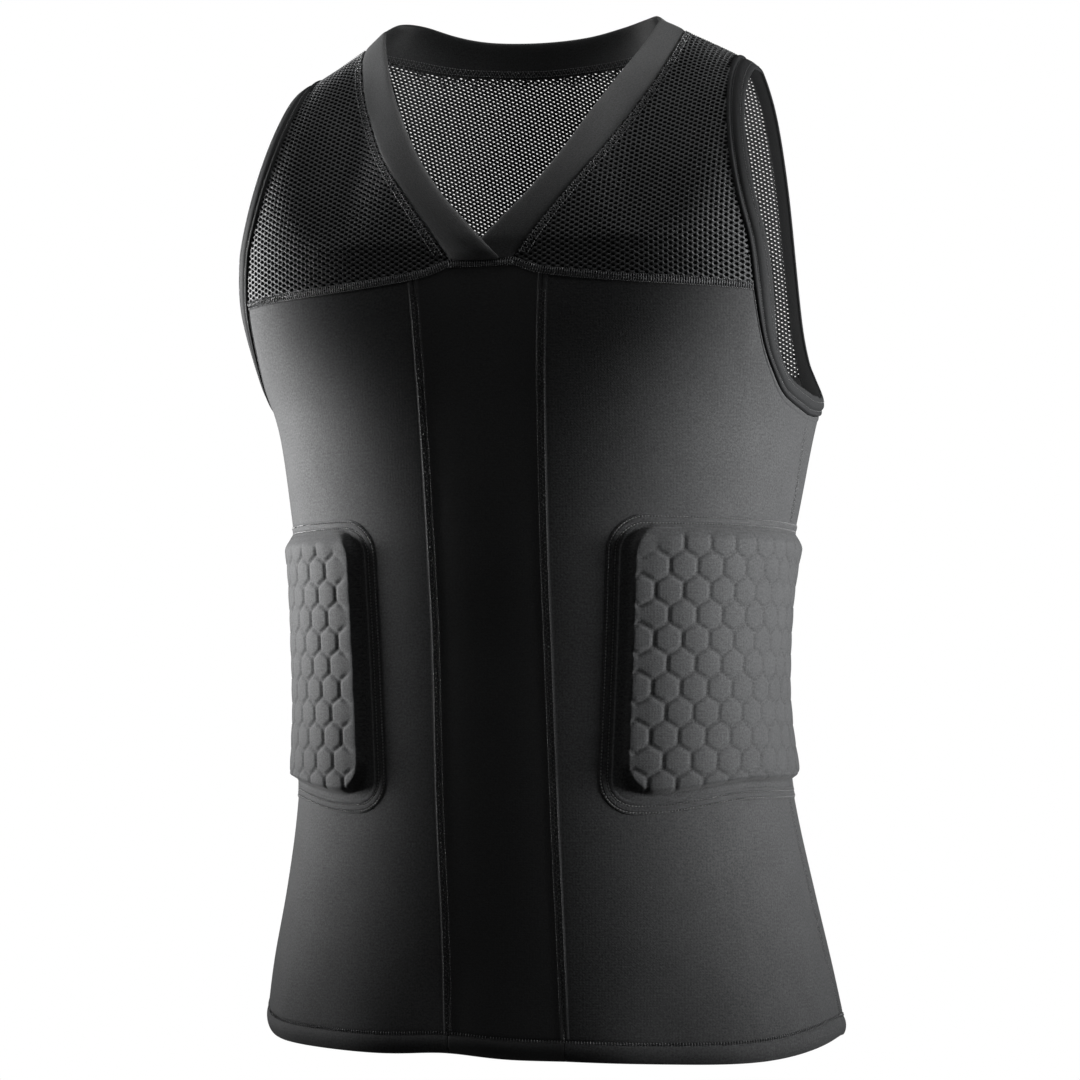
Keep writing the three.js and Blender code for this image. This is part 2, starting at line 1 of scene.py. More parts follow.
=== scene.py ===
import math

import bmesh
import bpy
import numpy as np
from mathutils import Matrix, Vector


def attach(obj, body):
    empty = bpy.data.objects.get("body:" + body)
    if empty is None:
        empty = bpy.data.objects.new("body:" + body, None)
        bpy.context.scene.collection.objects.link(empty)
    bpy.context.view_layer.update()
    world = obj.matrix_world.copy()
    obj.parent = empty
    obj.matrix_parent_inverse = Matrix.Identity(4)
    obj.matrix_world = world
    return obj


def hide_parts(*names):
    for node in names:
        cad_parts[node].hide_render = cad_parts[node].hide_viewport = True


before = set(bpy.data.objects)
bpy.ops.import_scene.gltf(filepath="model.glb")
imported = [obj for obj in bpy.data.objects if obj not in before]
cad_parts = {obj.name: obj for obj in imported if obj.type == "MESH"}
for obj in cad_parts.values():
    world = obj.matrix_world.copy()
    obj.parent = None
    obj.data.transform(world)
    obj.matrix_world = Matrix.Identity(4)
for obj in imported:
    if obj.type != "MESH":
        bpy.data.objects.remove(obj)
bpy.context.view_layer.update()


# CENTRE PANEL
# The near-black stretch knit down the middle of the front, turned up and stitched at the hem.
# All cloth here keeps the stretched form it has when worn, so that form, in millimetres, comes first.
# Left and right are as worn.

MM = 0.001
STEPS_A_ROW = 40


def mix(a, b, share):
    return a + (b - a) * share


def ease(low, high, value):
    """A soft step from 0 to 1 between two values."""
    share = np.clip((value - low) / (high - low), 0, 1)
    return share * share * (3 - 2 * share)


def through(columns, rows):
    """Smooth curves through the columns of a short table, with the row number as place."""
    table = np.array(rows, float)
    last = len(table) - 1
    place = np.linspace(0, last, last * STEPS_A_ROW + 1)
    row = np.minimum(place.astype(int), last - 1)
    share = (place - row)[:, None]
    before, here, after, beyond = (table[np.clip(row + k, 0, last)] for k in (-1, 0, 1, 2))
    leave = (after - before) / 2
    bend = leave + (beyond - here) / 2 - 2 * (after - here)
    values = here + share * (leave + share * (after - here - leave - bend + share * bend))
    curves = dict(zip(columns.split(), values.T))
    curves["place"] = place
    return curves


def read(curves, key, value):
    """Reads all the curves of a table where one of them has a value."""
    order = np.argsort(curves[key])
    known = curves[key][order]
    return {name: np.interp(value, known, column[order]) for name, column in curves.items()}


BODY = through("z half side front back square", [
    (-680, 203, 88, -70, 156, 2.3),
    (-621, 191, 75, -71, 151, 2.3),
    (-567, 179, 70, -72, 145, 2.3),
    (-514, 169, 61, -73, 138, 2.3),
    (-454, 162, 47, -74, 132, 2.3),
    (-407, 162, 43, -75, 134, 2.3),
    (-361, 165, 47, -78, 140, 2.3),
    (-314, 172, 58, -80, 147, 2.4),
    (-261, 179, 71, -82, 152, 2.8),
    (-230, 187, 73, -84, 152, 3.2),
    (-185, 196, 69, -87, 151, 4.0),
    (-150, 200, 66, -88, 150, 4.0),
])
SHOULDER = through("x y z slope", [
    (0, -5, 35, 1.25),
    (60, -5, 18, 1.25),
    (95, -2, 3, 1.12),
    (111, 3, -4, 1.2),
    (144, 14, -20, 1.6),
    (163, 18, -33, 1.8),
    (185, 20, -55, 1.9),
])
CLOSING_LEVEL = {"front": -150, "back": -245}
BACK_SLOPE = 1.45
NAPE_REACH = 50


def from_middle(x):
    """Distance from the middle of the body, rounded off at the nape so that no crease stands there."""
    part = np.abs(x) / NAPE_REACH
    return NAPE_REACH * np.where(part < 1, (3 + 6 * part ** 2 - part ** 4) / 8, part)


def depth(half, x, z):
    """How far back the cloth lies on the front or the back half. Both close over to the shoulder line."""
    level = CLOSING_LEVEL[half]
    body = read(BODY, "z", np.minimum(z, level))
    across = np.minimum(np.abs(x) / body["half"], 1)
    chest = mix(body["side"], body[half], (1 - across ** body["square"]) ** (1 / body["square"]))
    shoulder = read(SHOULDER, "x", from_middle(x))
    slope = shoulder["slope"] if half == "front" else BACK_SLOPE
    fall = np.clip((shoulder["z"] - z) / (shoulder["z"] - level), 0, 1)
    return mix(shoulder["y"], chest, (1 - (1 - fall) ** slope) ** (1 / slope))


def on_half(half, x, z):
    x, z = np.broadcast_arrays(np.asarray(x, float), np.asarray(z, float))
    return np.stack([x, depth(half, x, z), z], axis=-1)


def at_turn(turn, z):
    """A point at a turn in degrees from the centre front, positive towards the left."""
    turn, z = np.broadcast_arrays(np.asarray(turn, float), np.asarray(z, float))
    turn = (turn + 180) % 360 - 180
    in_front = np.abs(turn) <= 90
    body = read(BODY, "z", np.where(in_front, z, np.minimum(z, CLOSING_LEVEL["back"])))
    sideways = np.sin(np.radians(turn))
    x = np.sign(sideways) * body["half"] * np.abs(sideways) ** (2 / body["square"])
    y = np.where(in_front, depth("front", x, z), depth("back", x, z))
    return np.stack([x, y, z], axis=-1)


LEVEL_STEP, ARC_STEP = 2.0, 2.0
LOWEST_LEVEL, HIGHEST_LEVEL, LONGEST_ARC = -686.0, -140, 620
LEVELS = np.arange(LOWEST_LEVEL, HIGHEST_LEVEL, LEVEL_STEP)
TURNS = np.arange(0, 181.0)
STRIDES = np.linalg.norm(np.diff(at_turn(TURNS[None], LEVELS[:, None]), axis=1), axis=2)
ARCS = np.concatenate([np.zeros((len(LEVELS), 1)), np.cumsum(STRIDES, axis=1)], axis=1)
EVEN_ARCS = np.arange(0, LONGEST_ARC, ARC_STEP)
TURN_TABLE = np.stack([np.interp(EVEN_ARCS, arcs, TURNS) for arcs in ARCS])


def look_up(table, row, column):
    """Reads between the entries of an evenly spaced table."""
    row = np.clip(row, 0, table.shape[0] - 1.001)
    column = np.clip(column, 0, table.shape[1] - 1.001)
    i, j = row.astype(int), column.astype(int)
    near = mix(table[i, j], table[i, j + 1], column - j)
    far = mix(table[i + 1, j], table[i + 1, j + 1], column - j)
    return mix(near, far, row - i)


def arc_to(turn, z):
    """The way round the cloth from the centre front to a turn."""
    turn, z = np.broadcast_arrays(np.asarray(turn, float), np.asarray(z, float))
    return look_up(ARCS, (z - LOWEST_LEVEL) / LEVEL_STEP, turn)


def round_body(arc, z):
    """A point by its way round the cloth from the centre front, positive to the left."""
    arc, z = np.broadcast_arrays(np.asarray(arc, float), np.asarray(z, float))
    half_girth = arc_to(180, z)
    way = half_girth - np.abs(half_girth - np.abs(arc))
    turn = look_up(TURN_TABLE, (z - LOWEST_LEVEL) / LEVEL_STEP, way / ARC_STEP)
    turn = np.where(np.abs(arc) > half_girth, 360 - turn, turn)
    return at_turn(np.sign(arc) * turn, z)


def unit(vectors):
    return vectors / np.linalg.norm(vectors, axis=-1, keepdims=True)


def outward(surface, a, b, step=0.4):
    """Unit directions out of a surface whose first place runs to the left and second runs up."""
    sideways = surface(a + step, b) - surface(a - step, b)
    upward = surface(a, b + step) - surface(a, b - step)
    return unit(np.cross(sideways, upward))


HEM_LEVEL, HEM_TILT, HEM_SIDE_RISE = -670.5, 4, 13


def hem_at(turn):
    sideways = np.sin(np.radians(turn))
    return HEM_LEVEL - HEM_TILT * sideways + HEM_SIDE_RISE * sideways ** 8


SEAM_STEPS = np.array([0, 0.3, 0.7, 1.3, 2.0, 2.6, 3.0, 3.4, 4.2, 6.0])
SEAM_LIP = np.array([-0.35, -0.15, 0.12, 0.26, 0.3, 0.26, 0.12, -0.1, -0.05, 0])
KNIT_THICKNESS = 0.9
PANEL_ROWS = 46
HEM_ABOVE, HEM_OUTER, HEM_INNER = np.array([
    (18.0, 0.0, -0.9),
    (15.6, 0.0, -0.9),
    (14.3, -0.15, -0.95),
    (13.6, -0.4, -1.1),
    (13.1, -0.5, -2.2),
    (12.5, -0.35, -2.4),
    (11.5, 0.2, -2.5),
    (9.5, 0.65, -2.6),
    (7.0, 0.7, -2.8),
    (4.5, 0.2, -3.1),
    (2.4, -0.7, -3.6),
    (1.0, -1.7, -3.7),
    (0.3, -2.4, -3.5),
    (0.0, -2.9, -3.2),
]).T
HEM_WAVES, WAVE_FADE = ((1.0, 31, 0.6), (0.7, 13.5, 2.0)), 70
HEM_PULL, PULL_ARC, PULL_REACH, PULL_FADE = 3.2, -30, 30, 60


def crowd(width, middle):
    """Shares across a panel, close together along its two seams."""
    inside = np.linspace(SEAM_STEPS[-1], width - SEAM_STEPS[-1], middle + 1)[1:-1]
    return np.concatenate([SEAM_STEPS, inside, width - SEAM_STEPS[::-1]]) / width


def panel_rows():
    """Rows of a panel: its share of the height, an offset, and the lift of both its faces."""
    shares = np.linspace(0, 1, PANEL_ROWS + 1)[1:-1]
    none, ones = np.zeros(len(SEAM_STEPS)), np.ones(len(HEM_ABOVE))
    share = np.concatenate([none, shares, ones])
    offset = np.concatenate([-SEAM_STEPS, mix(-SEAM_STEPS[-1], HEM_ABOVE[0], shares), HEM_ABOVE])
    outer = np.concatenate([SEAM_LIP, shares * 0, HEM_OUTER])
    inner = np.concatenate([none, shares * 0, HEM_INNER + KNIT_THICKNESS]) - KNIT_THICKNESS
    return [column[:, None] for column in (share, offset, outer, inner)]


def hem_wave(arc, z):
    """The hem hangs in soft waves that fade out above it."""
    waves = sum(size * np.sin(arc / length + start) for size, length, start in HEM_WAVES)
    return ease(WAVE_FADE, 0, z - HEM_LEVEL) * waves


def hem_pull(arc, z):
    """A seam draws the hem up a little beside it."""
    return HEM_PULL * np.exp(-((arc - PULL_ARC) / PULL_REACH) ** 2) * ease(PULL_FADE, 0, z - HEM_LEVEL)


def panel_faces(arc, z, lip, outer_lift, inner_lift, wave_arc=None):
    """Both faces of a panel, with the lips of its seams, its hem, and the waves the hem hangs in."""
    wave_arc = arc if wave_arc is None else wave_arc
    normals = outward(round_body, arc, z)
    base = round_body(arc, z + hem_pull(wave_arc, z)) + normals * hem_wave(wave_arc, z)[..., None]
    lift = np.where(np.abs(lip) > np.abs(outer_lift), lip, outer_lift)
    return base + normals * lift[..., None], base + normals * inner_lift[..., None]


def closed_cloth(name, outer, inner, weave, mirrored=False, looped=False, crown=None):
    """Closes two faces of cloth, each a grid of points, into one mesh with its weave as UV map."""
    rows, columns = outer.shape[:2]
    order = slice(None, None, -1 if mirrored else 1)
    bm = bmesh.new()
    bmesh.ops.create_grid(bm, x_segments=columns - 1, y_segments=rows - 1, size=0.5)
    number = bm.verts.layers.int.new("number")
    lay = bm.loops.layers.uv.new("weave")
    inner, outer = ((face[:, order] * MM).reshape(-1, 3).tolist() for face in (inner, outer))
    weave = (weave[:, order] * MM).reshape(-1, 2).tolist()
    for vert in bm.verts:
        i = round((vert.co.x + 0.5) * (columns - 1))
        j = round((0.5 - vert.co.y) * (rows - 1))
        vert[number] = j * columns + i
        vert.co = inner[vert[number]]
    if crown is not None:
        crowning = bm.verts.layers.float.new("crown")
        crowns = crown[:, order].ravel().tolist()
        for vert in bm.verts:
            vert[crowning] = crowns[vert[number]]
    for face in bm.faces:
        for loop in face.loops:
            loop[lay].uv = weave[loop.vert[number]]
    if looped:
        bmesh.ops.remove_doubles(bm, verts=bm.verts, dist=0.01 * MM)
    grown = bmesh.ops.extrude_face_region(bm, geom=bm.faces[:], use_keep_orig=True)
    for item in grown["geom"]:
        if isinstance(item, bmesh.types.BMVert):
            item.co = outer[item[number]]
    bmesh.ops.recalc_face_normals(bm, faces=bm.faces)
    bm.verts.layers.int.remove(number)
    mesh = bpy.data.meshes.new(name)
    bm.to_mesh(mesh)
    bm.free()
    return add_piece(name, mesh)


def add_piece(name, mesh):
    mesh.polygons.foreach_set("use_smooth", np.ones(len(mesh.polygons), bool))
    piece = bpy.data.objects.new(name, mesh)
    bpy.context.scene.collection.objects.link(piece)
    return piece


def soften(piece, levels):
    softening = piece.modifiers.new("soft edges", "SUBSURF")
    softening.levels = levels
    softening.render_levels = levels


def node(tree, kind, inputs=None, **settings):
    made = tree.nodes.new(kind)
    for key, value in settings.items():
        setattr(made, key, value)
    for key, value in (inputs or {}).items():
        if isinstance(value, bpy.types.NodeSocket):
            tree.links.new(value, made.inputs[key])
        else:
            made.inputs[key].default_value = value
    return made


def socket_group(name, inputs, outputs):
    """A shader node group with named number sockets, and its input and output nodes."""
    tree = bpy.data.node_groups.new(name, "ShaderNodeTree")
    for label, value in inputs.items():
        socket = tree.interface.new_socket(label, in_out="INPUT", socket_type="NodeSocketFloat")
        socket.default_value = value
    for label in outputs:
        tree.interface.new_socket(label, in_out="OUTPUT", socket_type="NodeSocketFloat")
    return tree, node(tree, "NodeGroupInput"), node(tree, "NodeGroupOutput")


def knit_grain_group():
    """Fine knit: even courses crossed by wales, drawn out into faint streaks along the courses."""
    tree, given, result = socket_group("Knit grain", {"Courses": 700.0}, ["Tone", "Height"])
    weave = node(tree, "ShaderNodeUVMap", uv_map="weave").outputs["UV"]
    along = node(tree, "ShaderNodeMath", {0: given.outputs["Courses"], 1: 0.36}, operation="MULTIPLY")
    stretch = node(tree, "ShaderNodeCombineXYZ", {"X": along.outputs[0], "Y": given.outputs["Courses"]})
    drawn = node(tree, "ShaderNodeVectorMath", {0: weave, 1: stretch.outputs[0]}, operation="MULTIPLY")
    streaks = node(tree, "ShaderNodeTexNoise", {
        "Vector": drawn.outputs[0], "Scale": 1.0, "Detail": 3.0, "Roughness": 0.6})
    even = node(tree, "ShaderNodeVectorMath", {0: weave}, operation="SCALE")
    tree.links.new(given.outputs["Courses"], even.inputs["Scale"])
    courses = node(tree, "ShaderNodeTexWave", {
        "Vector": even.outputs[0], "Scale": 0.314, "Distortion": 0.6, "Detail": 1.0},
        bands_direction="Y")
    wales = node(tree, "ShaderNodeTexWave", {
        "Vector": even.outputs[0], "Scale": 0.25, "Distortion": 0.8, "Detail": 1.0},
        bands_direction="X")
    patches = node(tree, "ShaderNodeTexNoise", {"Vector": weave, "Scale": 45.0, "Detail": 4.0})
    speckle = node(tree, "ShaderNodeTexNoise", {
        "Vector": even.outputs[0], "Scale": 1.2, "Detail": 2.0, "Roughness": 0.7})
    drift = node(tree, "ShaderNodeMix", {"Factor": 0.3, 2: streaks.outputs[0], 3: patches.outputs[0]})
    tone = node(tree, "ShaderNodeMix", {"Factor": 0.62, 2: drift.outputs[0], 3: speckle.outputs[0]})
    loops = node(tree, "ShaderNodeMath", {0: courses.outputs["Fac"], 1: wales.outputs["Fac"]},
                 operation="MULTIPLY")
    uneven = node(tree, "ShaderNodeMix", {"Factor": 0.7, 2: streaks.outputs[0], 3: speckle.outputs[0]})
    height = node(tree, "ShaderNodeMix", {"Factor": 0.85, 2: loops.outputs[0], 3: uneven.outputs[0]})
    tree.links.new(tone.outputs[0], result.inputs["Tone"])
    tree.links.new(height.outputs[0], result.inputs["Height"])
    return tree


KNIT_GRAIN = knit_grain_group()
ROUGHNESS_DRIFT = 0.06


def new_finish(name):
    finish = bpy.data.materials.new(name)
    finish.use_nodes = True
    return finish, finish.node_tree, finish.node_tree.nodes["Principled BSDF"]


def set_shader(shader, **values):
    for label, value in values.items():
        shader.inputs[label.replace("_", " ")].default_value = value


def blend_colours(tree, factor, dark, light):
    blended = node(tree, "ShaderNodeMix", {"Factor": factor}, data_type="RGBA")
    for label, colour in (("A", dark), ("B", light)):
        socket = next(s for s in blended.inputs if s.name == label and s.type == "RGBA")
        if isinstance(colour, bpy.types.NodeSocket):
            tree.links.new(colour, socket)
        else:
            socket.default_value = (*colour, 1)
    return next(s for s in blended.outputs if s.type == "RGBA")


def knit_finish(name, dark, light, courses, roughness, bump):
    """A knit cloth with streaks of tone, a roughness that follows them and a fine relief."""
    finish, tree, shader = new_finish(name)
    grain = node(tree, "ShaderNodeGroup", node_tree=KNIT_GRAIN)
    grain.inputs["Courses"].default_value = courses
    spread = node(tree, "ShaderNodeMapRange", {
        "Value": grain.outputs["Tone"], "From Min": 0.38, "From Max": 0.62})
    colour = blend_colours(tree, spread.outputs[0], dark, light)
    tree.links.new(colour, shader.inputs["Base Color"])
    rough = node(tree, "ShaderNodeMapRange", {
        "Value": grain.outputs["Tone"], "From Min": 0.3, "From Max": 0.7,
        "To Min": roughness + ROUGHNESS_DRIFT, "To Max": roughness - ROUGHNESS_DRIFT})
    tree.links.new(rough.outputs[0], shader.inputs["Roughness"])
    relief = node(tree, "ShaderNodeBump", {
        "Height": grain.outputs["Height"], "Strength": bump, "Distance": 0.0004})
    tree.links.new(relief.outputs[0], shader.inputs["Normal"])
    return finish, tree, shader, colour


def dress(piece, finish, slot, *nodes):
    """Gives a piece its finish and its body, and hides the CAD nodes that it stands for. The slot is not
    used.
    """
    piece.data.materials.append(finish)
    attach(piece, "root")
    if nodes:
        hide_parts(*nodes)


CENTRE_SEAMS = through("z right left", [
    (-680, -27, 50),
    (-601, -28, 47),
    (-506, -32, 43),
    (-378, -35, 39),
    (-255, -41, 38),
    (-174, -46, 41),
])
YOKE_SEAM = through("x z", [
    (0, -163.5),
    (11, -163.5),
    (21, -164),
    (44, -171),
    (100, -177.5),
    (170, -182),
])
CENTRE_WIDTH, CENTRE_COLUMNS, CENTRE_TOP = 84, 12, (-46, 41)
TONGUE_RISE, TONGUE_OUTER, TONGUE_INNER = np.array([
    (4.0, -1.3, -1.7),
    (1.2, -1.3, -1.7),
    (0.4, -1.0, -1.6),
]).T


def front_arc(x, z):
    """The way round the cloth from the centre front to a place on the front."""
    body = read(BODY, "z", z)
    turn = np.degrees(np.arcsin(np.minimum(np.abs(x) / body["half"], 1) ** (body["square"] / 2)))
    return np.sign(x) * arc_to(turn, z)


across = crowd(CENTRE_WIDTH, CENTRE_COLUMNS)[None, :]
tongue = (TONGUE_RISE * 0, TONGUE_RISE, TONGUE_OUTER, TONGUE_INNER)
share, offset, outer_lift, inner_lift = (
    np.concatenate([above[:, None], rows]) for above, rows in zip(tongue, panel_rows()))
top_z = read(YOKE_SEAM, "x", np.abs(mix(*CENTRE_TOP, across)))["z"]
z = mix(top_z, hem_at(0), share) + offset
seams = read(CENTRE_SEAMS, "z", z)
x = mix(seams["right"], seams["left"], across)
arc = front_arc(x, z)
lip = np.interp(np.minimum(x - seams["right"], seams["left"] - x), SEAM_STEPS, SEAM_LIP)
outer, inner = panel_faces(arc, z, lip, outer_lift, inner_lift)
centre_cloth = closed_cloth("centre_cloth", outer, inner, np.stack([arc, z], axis=-1))
soften(centre_cloth, 1)
centre_finish, _, centre_shader, _ = knit_finish(
    "centre knit", (0.019, 0.0194, 0.02), (0.034, 0.0347, 0.0359),
    courses=700, roughness=0.52, bump=0.25)
set_shader(centre_shader, Specular_IOR_Level=0.4, Sheen_Weight=0.04, Sheen_Roughness=0.5)
dress(centre_cloth, centre_finish, "centre_knit", "centre_panel")


# SIDE PANELS
# Charcoal stretch knit from the centre seams round to the side seams, under the yokes and armholes.
# Flat seams join them to the centre panel: a row of thread on each side, and a zigzag over the join.

SIDE_TURN, SIDE_WIDTH, SIDE_COLUMNS = 88, 205, 34
YOKE_ROW, SETTLING_PASSES = 4, 6
CENTRE_SEAM_SPAN, CENTRE_SEAM_LIFTS = (-183, -655), (0.34, 0.26)
SEAM_ROW_OFFSET, SIDE_SEAM_SHARE = 2.3, 0.3
CROSSWISE = 80
CORNER_STEPS = np.array([-2.0, -0.8, -0.25, 0, 0.25, 0.8, 2.0])
ARM_FRONT = through("seam_turn seam_z edge_turn edge_z", [
    (88, -254, 88, -241),
    (72.5, -246, 77, -235),
    (63, -230, 70, -224),
    (56, -211, 65, -209),
    (49, -182, 61, -182),
    (45, -152, 56, -152),
    (40.5, -124, 50.5, -124),
    (36.5, -92, 45.5, -92),
    (33, -52, 42, -60),
    (31.2, -20, 41.3, -35),
])


def lint_group():
    """Pale lint and rubbed thread ends, in sparse short flecks."""
    tree, given, result = socket_group("Lint", {"Amount": 0.5}, ["Mask"])
    place = node(tree, "ShaderNodeTexCoord").outputs["Object"]
    flecks = node(tree, "ShaderNodeTexNoise", {
        "Vector": place, "Scale": 420.0, "Detail": 5.0, "Roughness": 0.75, "Distortion": 1.2})
    rubbed = node(tree, "ShaderNodeTexNoise", {"Vector": place, "Scale": 16.0, "Detail": 3.0})
    sparse = node(tree, "ShaderNodeMapRange", {
        "Value": flecks.outputs[0], "From Min": 0.60, "From Max": 0.76})
    patches = node(tree, "ShaderNodeMapRange", {
        "Value": rubbed.outputs[0], "From Min": 0.46, "From Max": 0.7})
    both = node(tree, "ShaderNodeMath", {0: sparse.outputs[0], 1: patches.outputs[0]},
                operation="MULTIPLY")
    amount = node(tree, "ShaderNodeMath", {0: both.outputs[0], 1: given.outputs["Amount"]},
                  operation="MULTIPLY")
    tree.links.new(amount.outputs[0], result.inputs["Mask"])
    return tree


LINT, LINT_COLOUR = lint_group(), (0.2, 0.2, 0.2)


def add_lint(tree, shader, colour, amount):
    lint = node(tree, "ShaderNodeGroup", node_tree=LINT)
    lint.inputs["Amount"].default_value = amount
    linted = blend_colours(tree, lint.outputs["Mask"], colour, LINT_COLOUR)
    tree.links.new(linted, shader.inputs["Base Color"])


def stitches(name, rows, finish, slot):
    """Joins rows of stitches into one mesh, each stitch a small spindle of thread."""
    bm = bmesh.new()
    bmesh.ops.create_icosphere(bm, subdivisions=1, radius=1)
    spindle = np.array([vert.co for vert in bm.verts])
    corners = np.array([[vert.index for vert in face.verts] for face in bm.faces])
    bm.free()
    points = []
    for centres, along, normals, length, thickness in rows:
        sideways = np.cross(normals, along)
        size = spindle * (length / 2, thickness / 2, thickness / 2)
        frames = np.stack([along, sideways, normals], axis=1)
        points.append(centres[:, None] + np.einsum("vk,skd->svd", size, frames))
    points = np.concatenate(points)
    count = len(points)
    faces = (np.arange(count)[:, None, None] * len(spindle) + corners[None]).reshape(-1, 3)
    mesh = bpy.data.meshes.new(name)
    mesh.from_pydata((points.reshape(-1, 3) * MM).tolist(), [], faces.tolist())
    dress(add_piece(name, mesh), finish, slot)


def way_along(line):
    """How far along a line each of its points is."""
    return np.concatenate([[0], np.cumsum(np.linalg.norm(np.diff(line, axis=0), axis=1))])


def sew(line, normals, pitch, length, thickness, slant=0.0, phase=0.5):
    """Stitches at an even pitch along a line of points, turned by a slant in degrees.
    They zigzag, unless the slant lays them crosswise."""
    way = way_along(line)
    count = max(int(round(way[-1] / pitch)), 1)
    places = (np.arange(count) + phase) * way[-1] / count

    def spread(values):
        return np.stack([np.interp(places, way, column) for column in values.T], axis=1)

    along = unit(spread(np.gradient(line, axis=0)))
    normal = unit(spread(normals))
    sideways = np.cross(normal, along)
    sense = np.ones(count) if abs(slant) > CROSSWISE else (-1.0) ** np.arange(count)
    turn = np.radians(slant) * sense
    direction = along * np.cos(turn)[:, None] + sideways * np.sin(turn)[:, None]
    direction = unit(direction - normal * (direction * normal).sum(axis=1, keepdims=True))
    return spread(line), direction, normal, length, thickness


def seam_line(surface, a, b, lift):
    """A line of points lifted off a surface, and the directions out of it."""
    normals = outward(surface, a, b)
    return surface(a, b) + normals * np.reshape(lift, (-1, 1)), normals


def flat_seam(side, arc, z, lifts):
    """A flat seam: a row of thread on each side of it, and a zigzag that covers it."""
    row_lift, zigzag_lift = lifts
    rows = []
    for offset in (-SEAM_ROW_OFFSET, SEAM_ROW_OFFSET):
        row = seam_line(round_body, side * (arc + offset), z, row_lift)
        rows.append(sew(*row, pitch=2.0, length=1.7, thickness=0.55))
    zigzag = seam_line(round_body, side * arc, z, zigzag_lift)
    return [*rows, sew(*zigzag, pitch=1.5, length=4.2, thickness=0.34, slant=55)]


def thread_finish(name, colour):
    finish, tree, shader = new_finish(name)
    place = node(tree, "ShaderNodeTexCoord").outputs["Object"]
    plies = node(tree, "ShaderNodeTexNoise", {"Vector": place, "Scale": 900.0, "Detail": 2.0})
    pale = tuple(value * 1.8 for value in colour)
    tree.links.new(blend_colours(tree, plies.outputs[0], colour, pale), shader.inputs["Base Color"])
    relief = node(tree, "ShaderNodeBump", {
        "Height": plies.outputs[0], "Strength": 0.4, "Distance": 0.0002})
    tree.links.new(relief.outputs[0], shader.inputs["Normal"])
    set_shader(shader, Roughness=0.42, Specular_IOR_Level=0.45, Sheen_Weight=0.15)
    return finish


def seam_arc(column, z):
    """The way round the cloth from the centre front to one of the centre seams."""
    return np.abs(front_arc(read(CENTRE_SEAMS, "z", z)[column], z))


def shares_between(arm, start, end):
    """Where an armhole's seam runs, as shares of the way between two other seams."""
    return (arc_to(arm["seam_turn"], arm["seam_z"]) - start) / (end - start)


def side_tops(column):
    """The top edge of a side panel, under the yoke and the armhole: shares across it, its heights,
    and the share at the corner between the two."""
    arm = read(ARM_FRONT, "place", np.linspace(YOKE_ROW, 0, 60))
    arm_shares = shares_between(arm, seam_arc(column, arm["seam_z"]), arc_to(SIDE_TURN, arm["seam_z"]))
    shares = np.linspace(0, arm_shares[0], 40)
    z = np.full(len(shares), arm["seam_z"][0])
    for _ in range(SETTLING_PASSES):
        x = np.abs(round_body(mix(seam_arc(column, z), arc_to(SIDE_TURN, z), shares), z)[:, 0])
        z = read(YOKE_SEAM, "x", x)["z"]
    tops = np.concatenate([z, arm["seam_z"][1:]])
    return np.concatenate([shares, arm_shares[1:]]), tops, arm_shares[0]


side_finish, side_tree, side_shader, side_colour = knit_finish(
    "side knit", (0.027, 0.0275, 0.0284), (0.052, 0.0529, 0.0543),
    courses=620, roughness=0.74, bump=0.4)
set_shader(side_shader, Specular_IOR_Level=0.12, Sheen_Weight=0.08, Sheen_Roughness=0.5)
add_lint(side_tree, side_shader, side_colour, amount=0.5)
seam_thread = thread_finish("seam thread", (0.032, 0.0327, 0.0335))
seam_rows = []
for side, name, node_name, column in (
        (1, "side_cloth_left", "side_panel_left", "left"),
        (-1, "side_cloth_right", "side_panel_right", "right")):
    shares, tops, corner = side_tops(column)
    across = np.concatenate([crowd(SIDE_WIDTH, SIDE_COLUMNS), corner + CORNER_STEPS / SIDE_WIDTH])
    across = np.sort(across)[None, :]
    share, offset, outer_lift, inner_lift = panel_rows()
    top_z = np.interp(across, shares, tops)
    z = mix(top_z, hem_at(side * SIDE_TURN * across), share) + offset
    start, end = seam_arc(column, z), arc_to(SIDE_TURN, z)
    arc = side * mix(start, end, across)
    lip = np.interp(np.abs(arc) - start, SEAM_STEPS, SEAM_LIP)
    lip += np.interp(end - np.abs(arc), SEAM_STEPS, SEAM_LIP * SIDE_SEAM_SHARE)
    outer, inner = panel_faces(arc, z, lip, outer_lift, inner_lift)
    panel = closed_cloth(name, outer, inner, np.stack([arc, z], axis=-1), mirrored=side < 0)
    soften(panel, 1)
    dress(panel, side_finish, "stretch_knit", node_name)
    z = np.linspace(*CENTRE_SEAM_SPAN, 300)
    seam_rows += flat_seam(side, seam_arc(column, z), z, CENTRE_SEAM_LIFTS)
stitches("centre_seam_stitches", seam_rows, seam_thread, "stretch_knit")


# BACK PANEL
# The plain lower back in the same charcoal knit, from side seam to side seam, below the mesh.
# The side seams are flat seams, and one hem runs round all the panels.

BACK_SEAM_LEVEL, BACK_SEAM_DIP, BACK_HALF_WIDTH = -221, 6, 250
ARM_BACK = through("seam_turn seam_z edge_turn edge_z", [
    (88, -254, 88, -241),
    (101, -251, 101, -237),
    (113, -244, 109, -229),
    (121, -233, 114, -221),
    (125, -221, 118, -211),
    (128.5, -190, 121.3, -188),
    (129.7, -145, 122.5, -146),
    (129.7, -95, 122, -98),
    (131, -50, 121.5, -56),
    (134.8, -20, 122.2, -35),
])


def back_seam_at(part):
    """Height of the seam under the back mesh, by the share of the way from armhole to centre."""
    return BACK_SEAM_LEVEL - BACK_SEAM_DIP * np.sin(part * np.pi / 2)


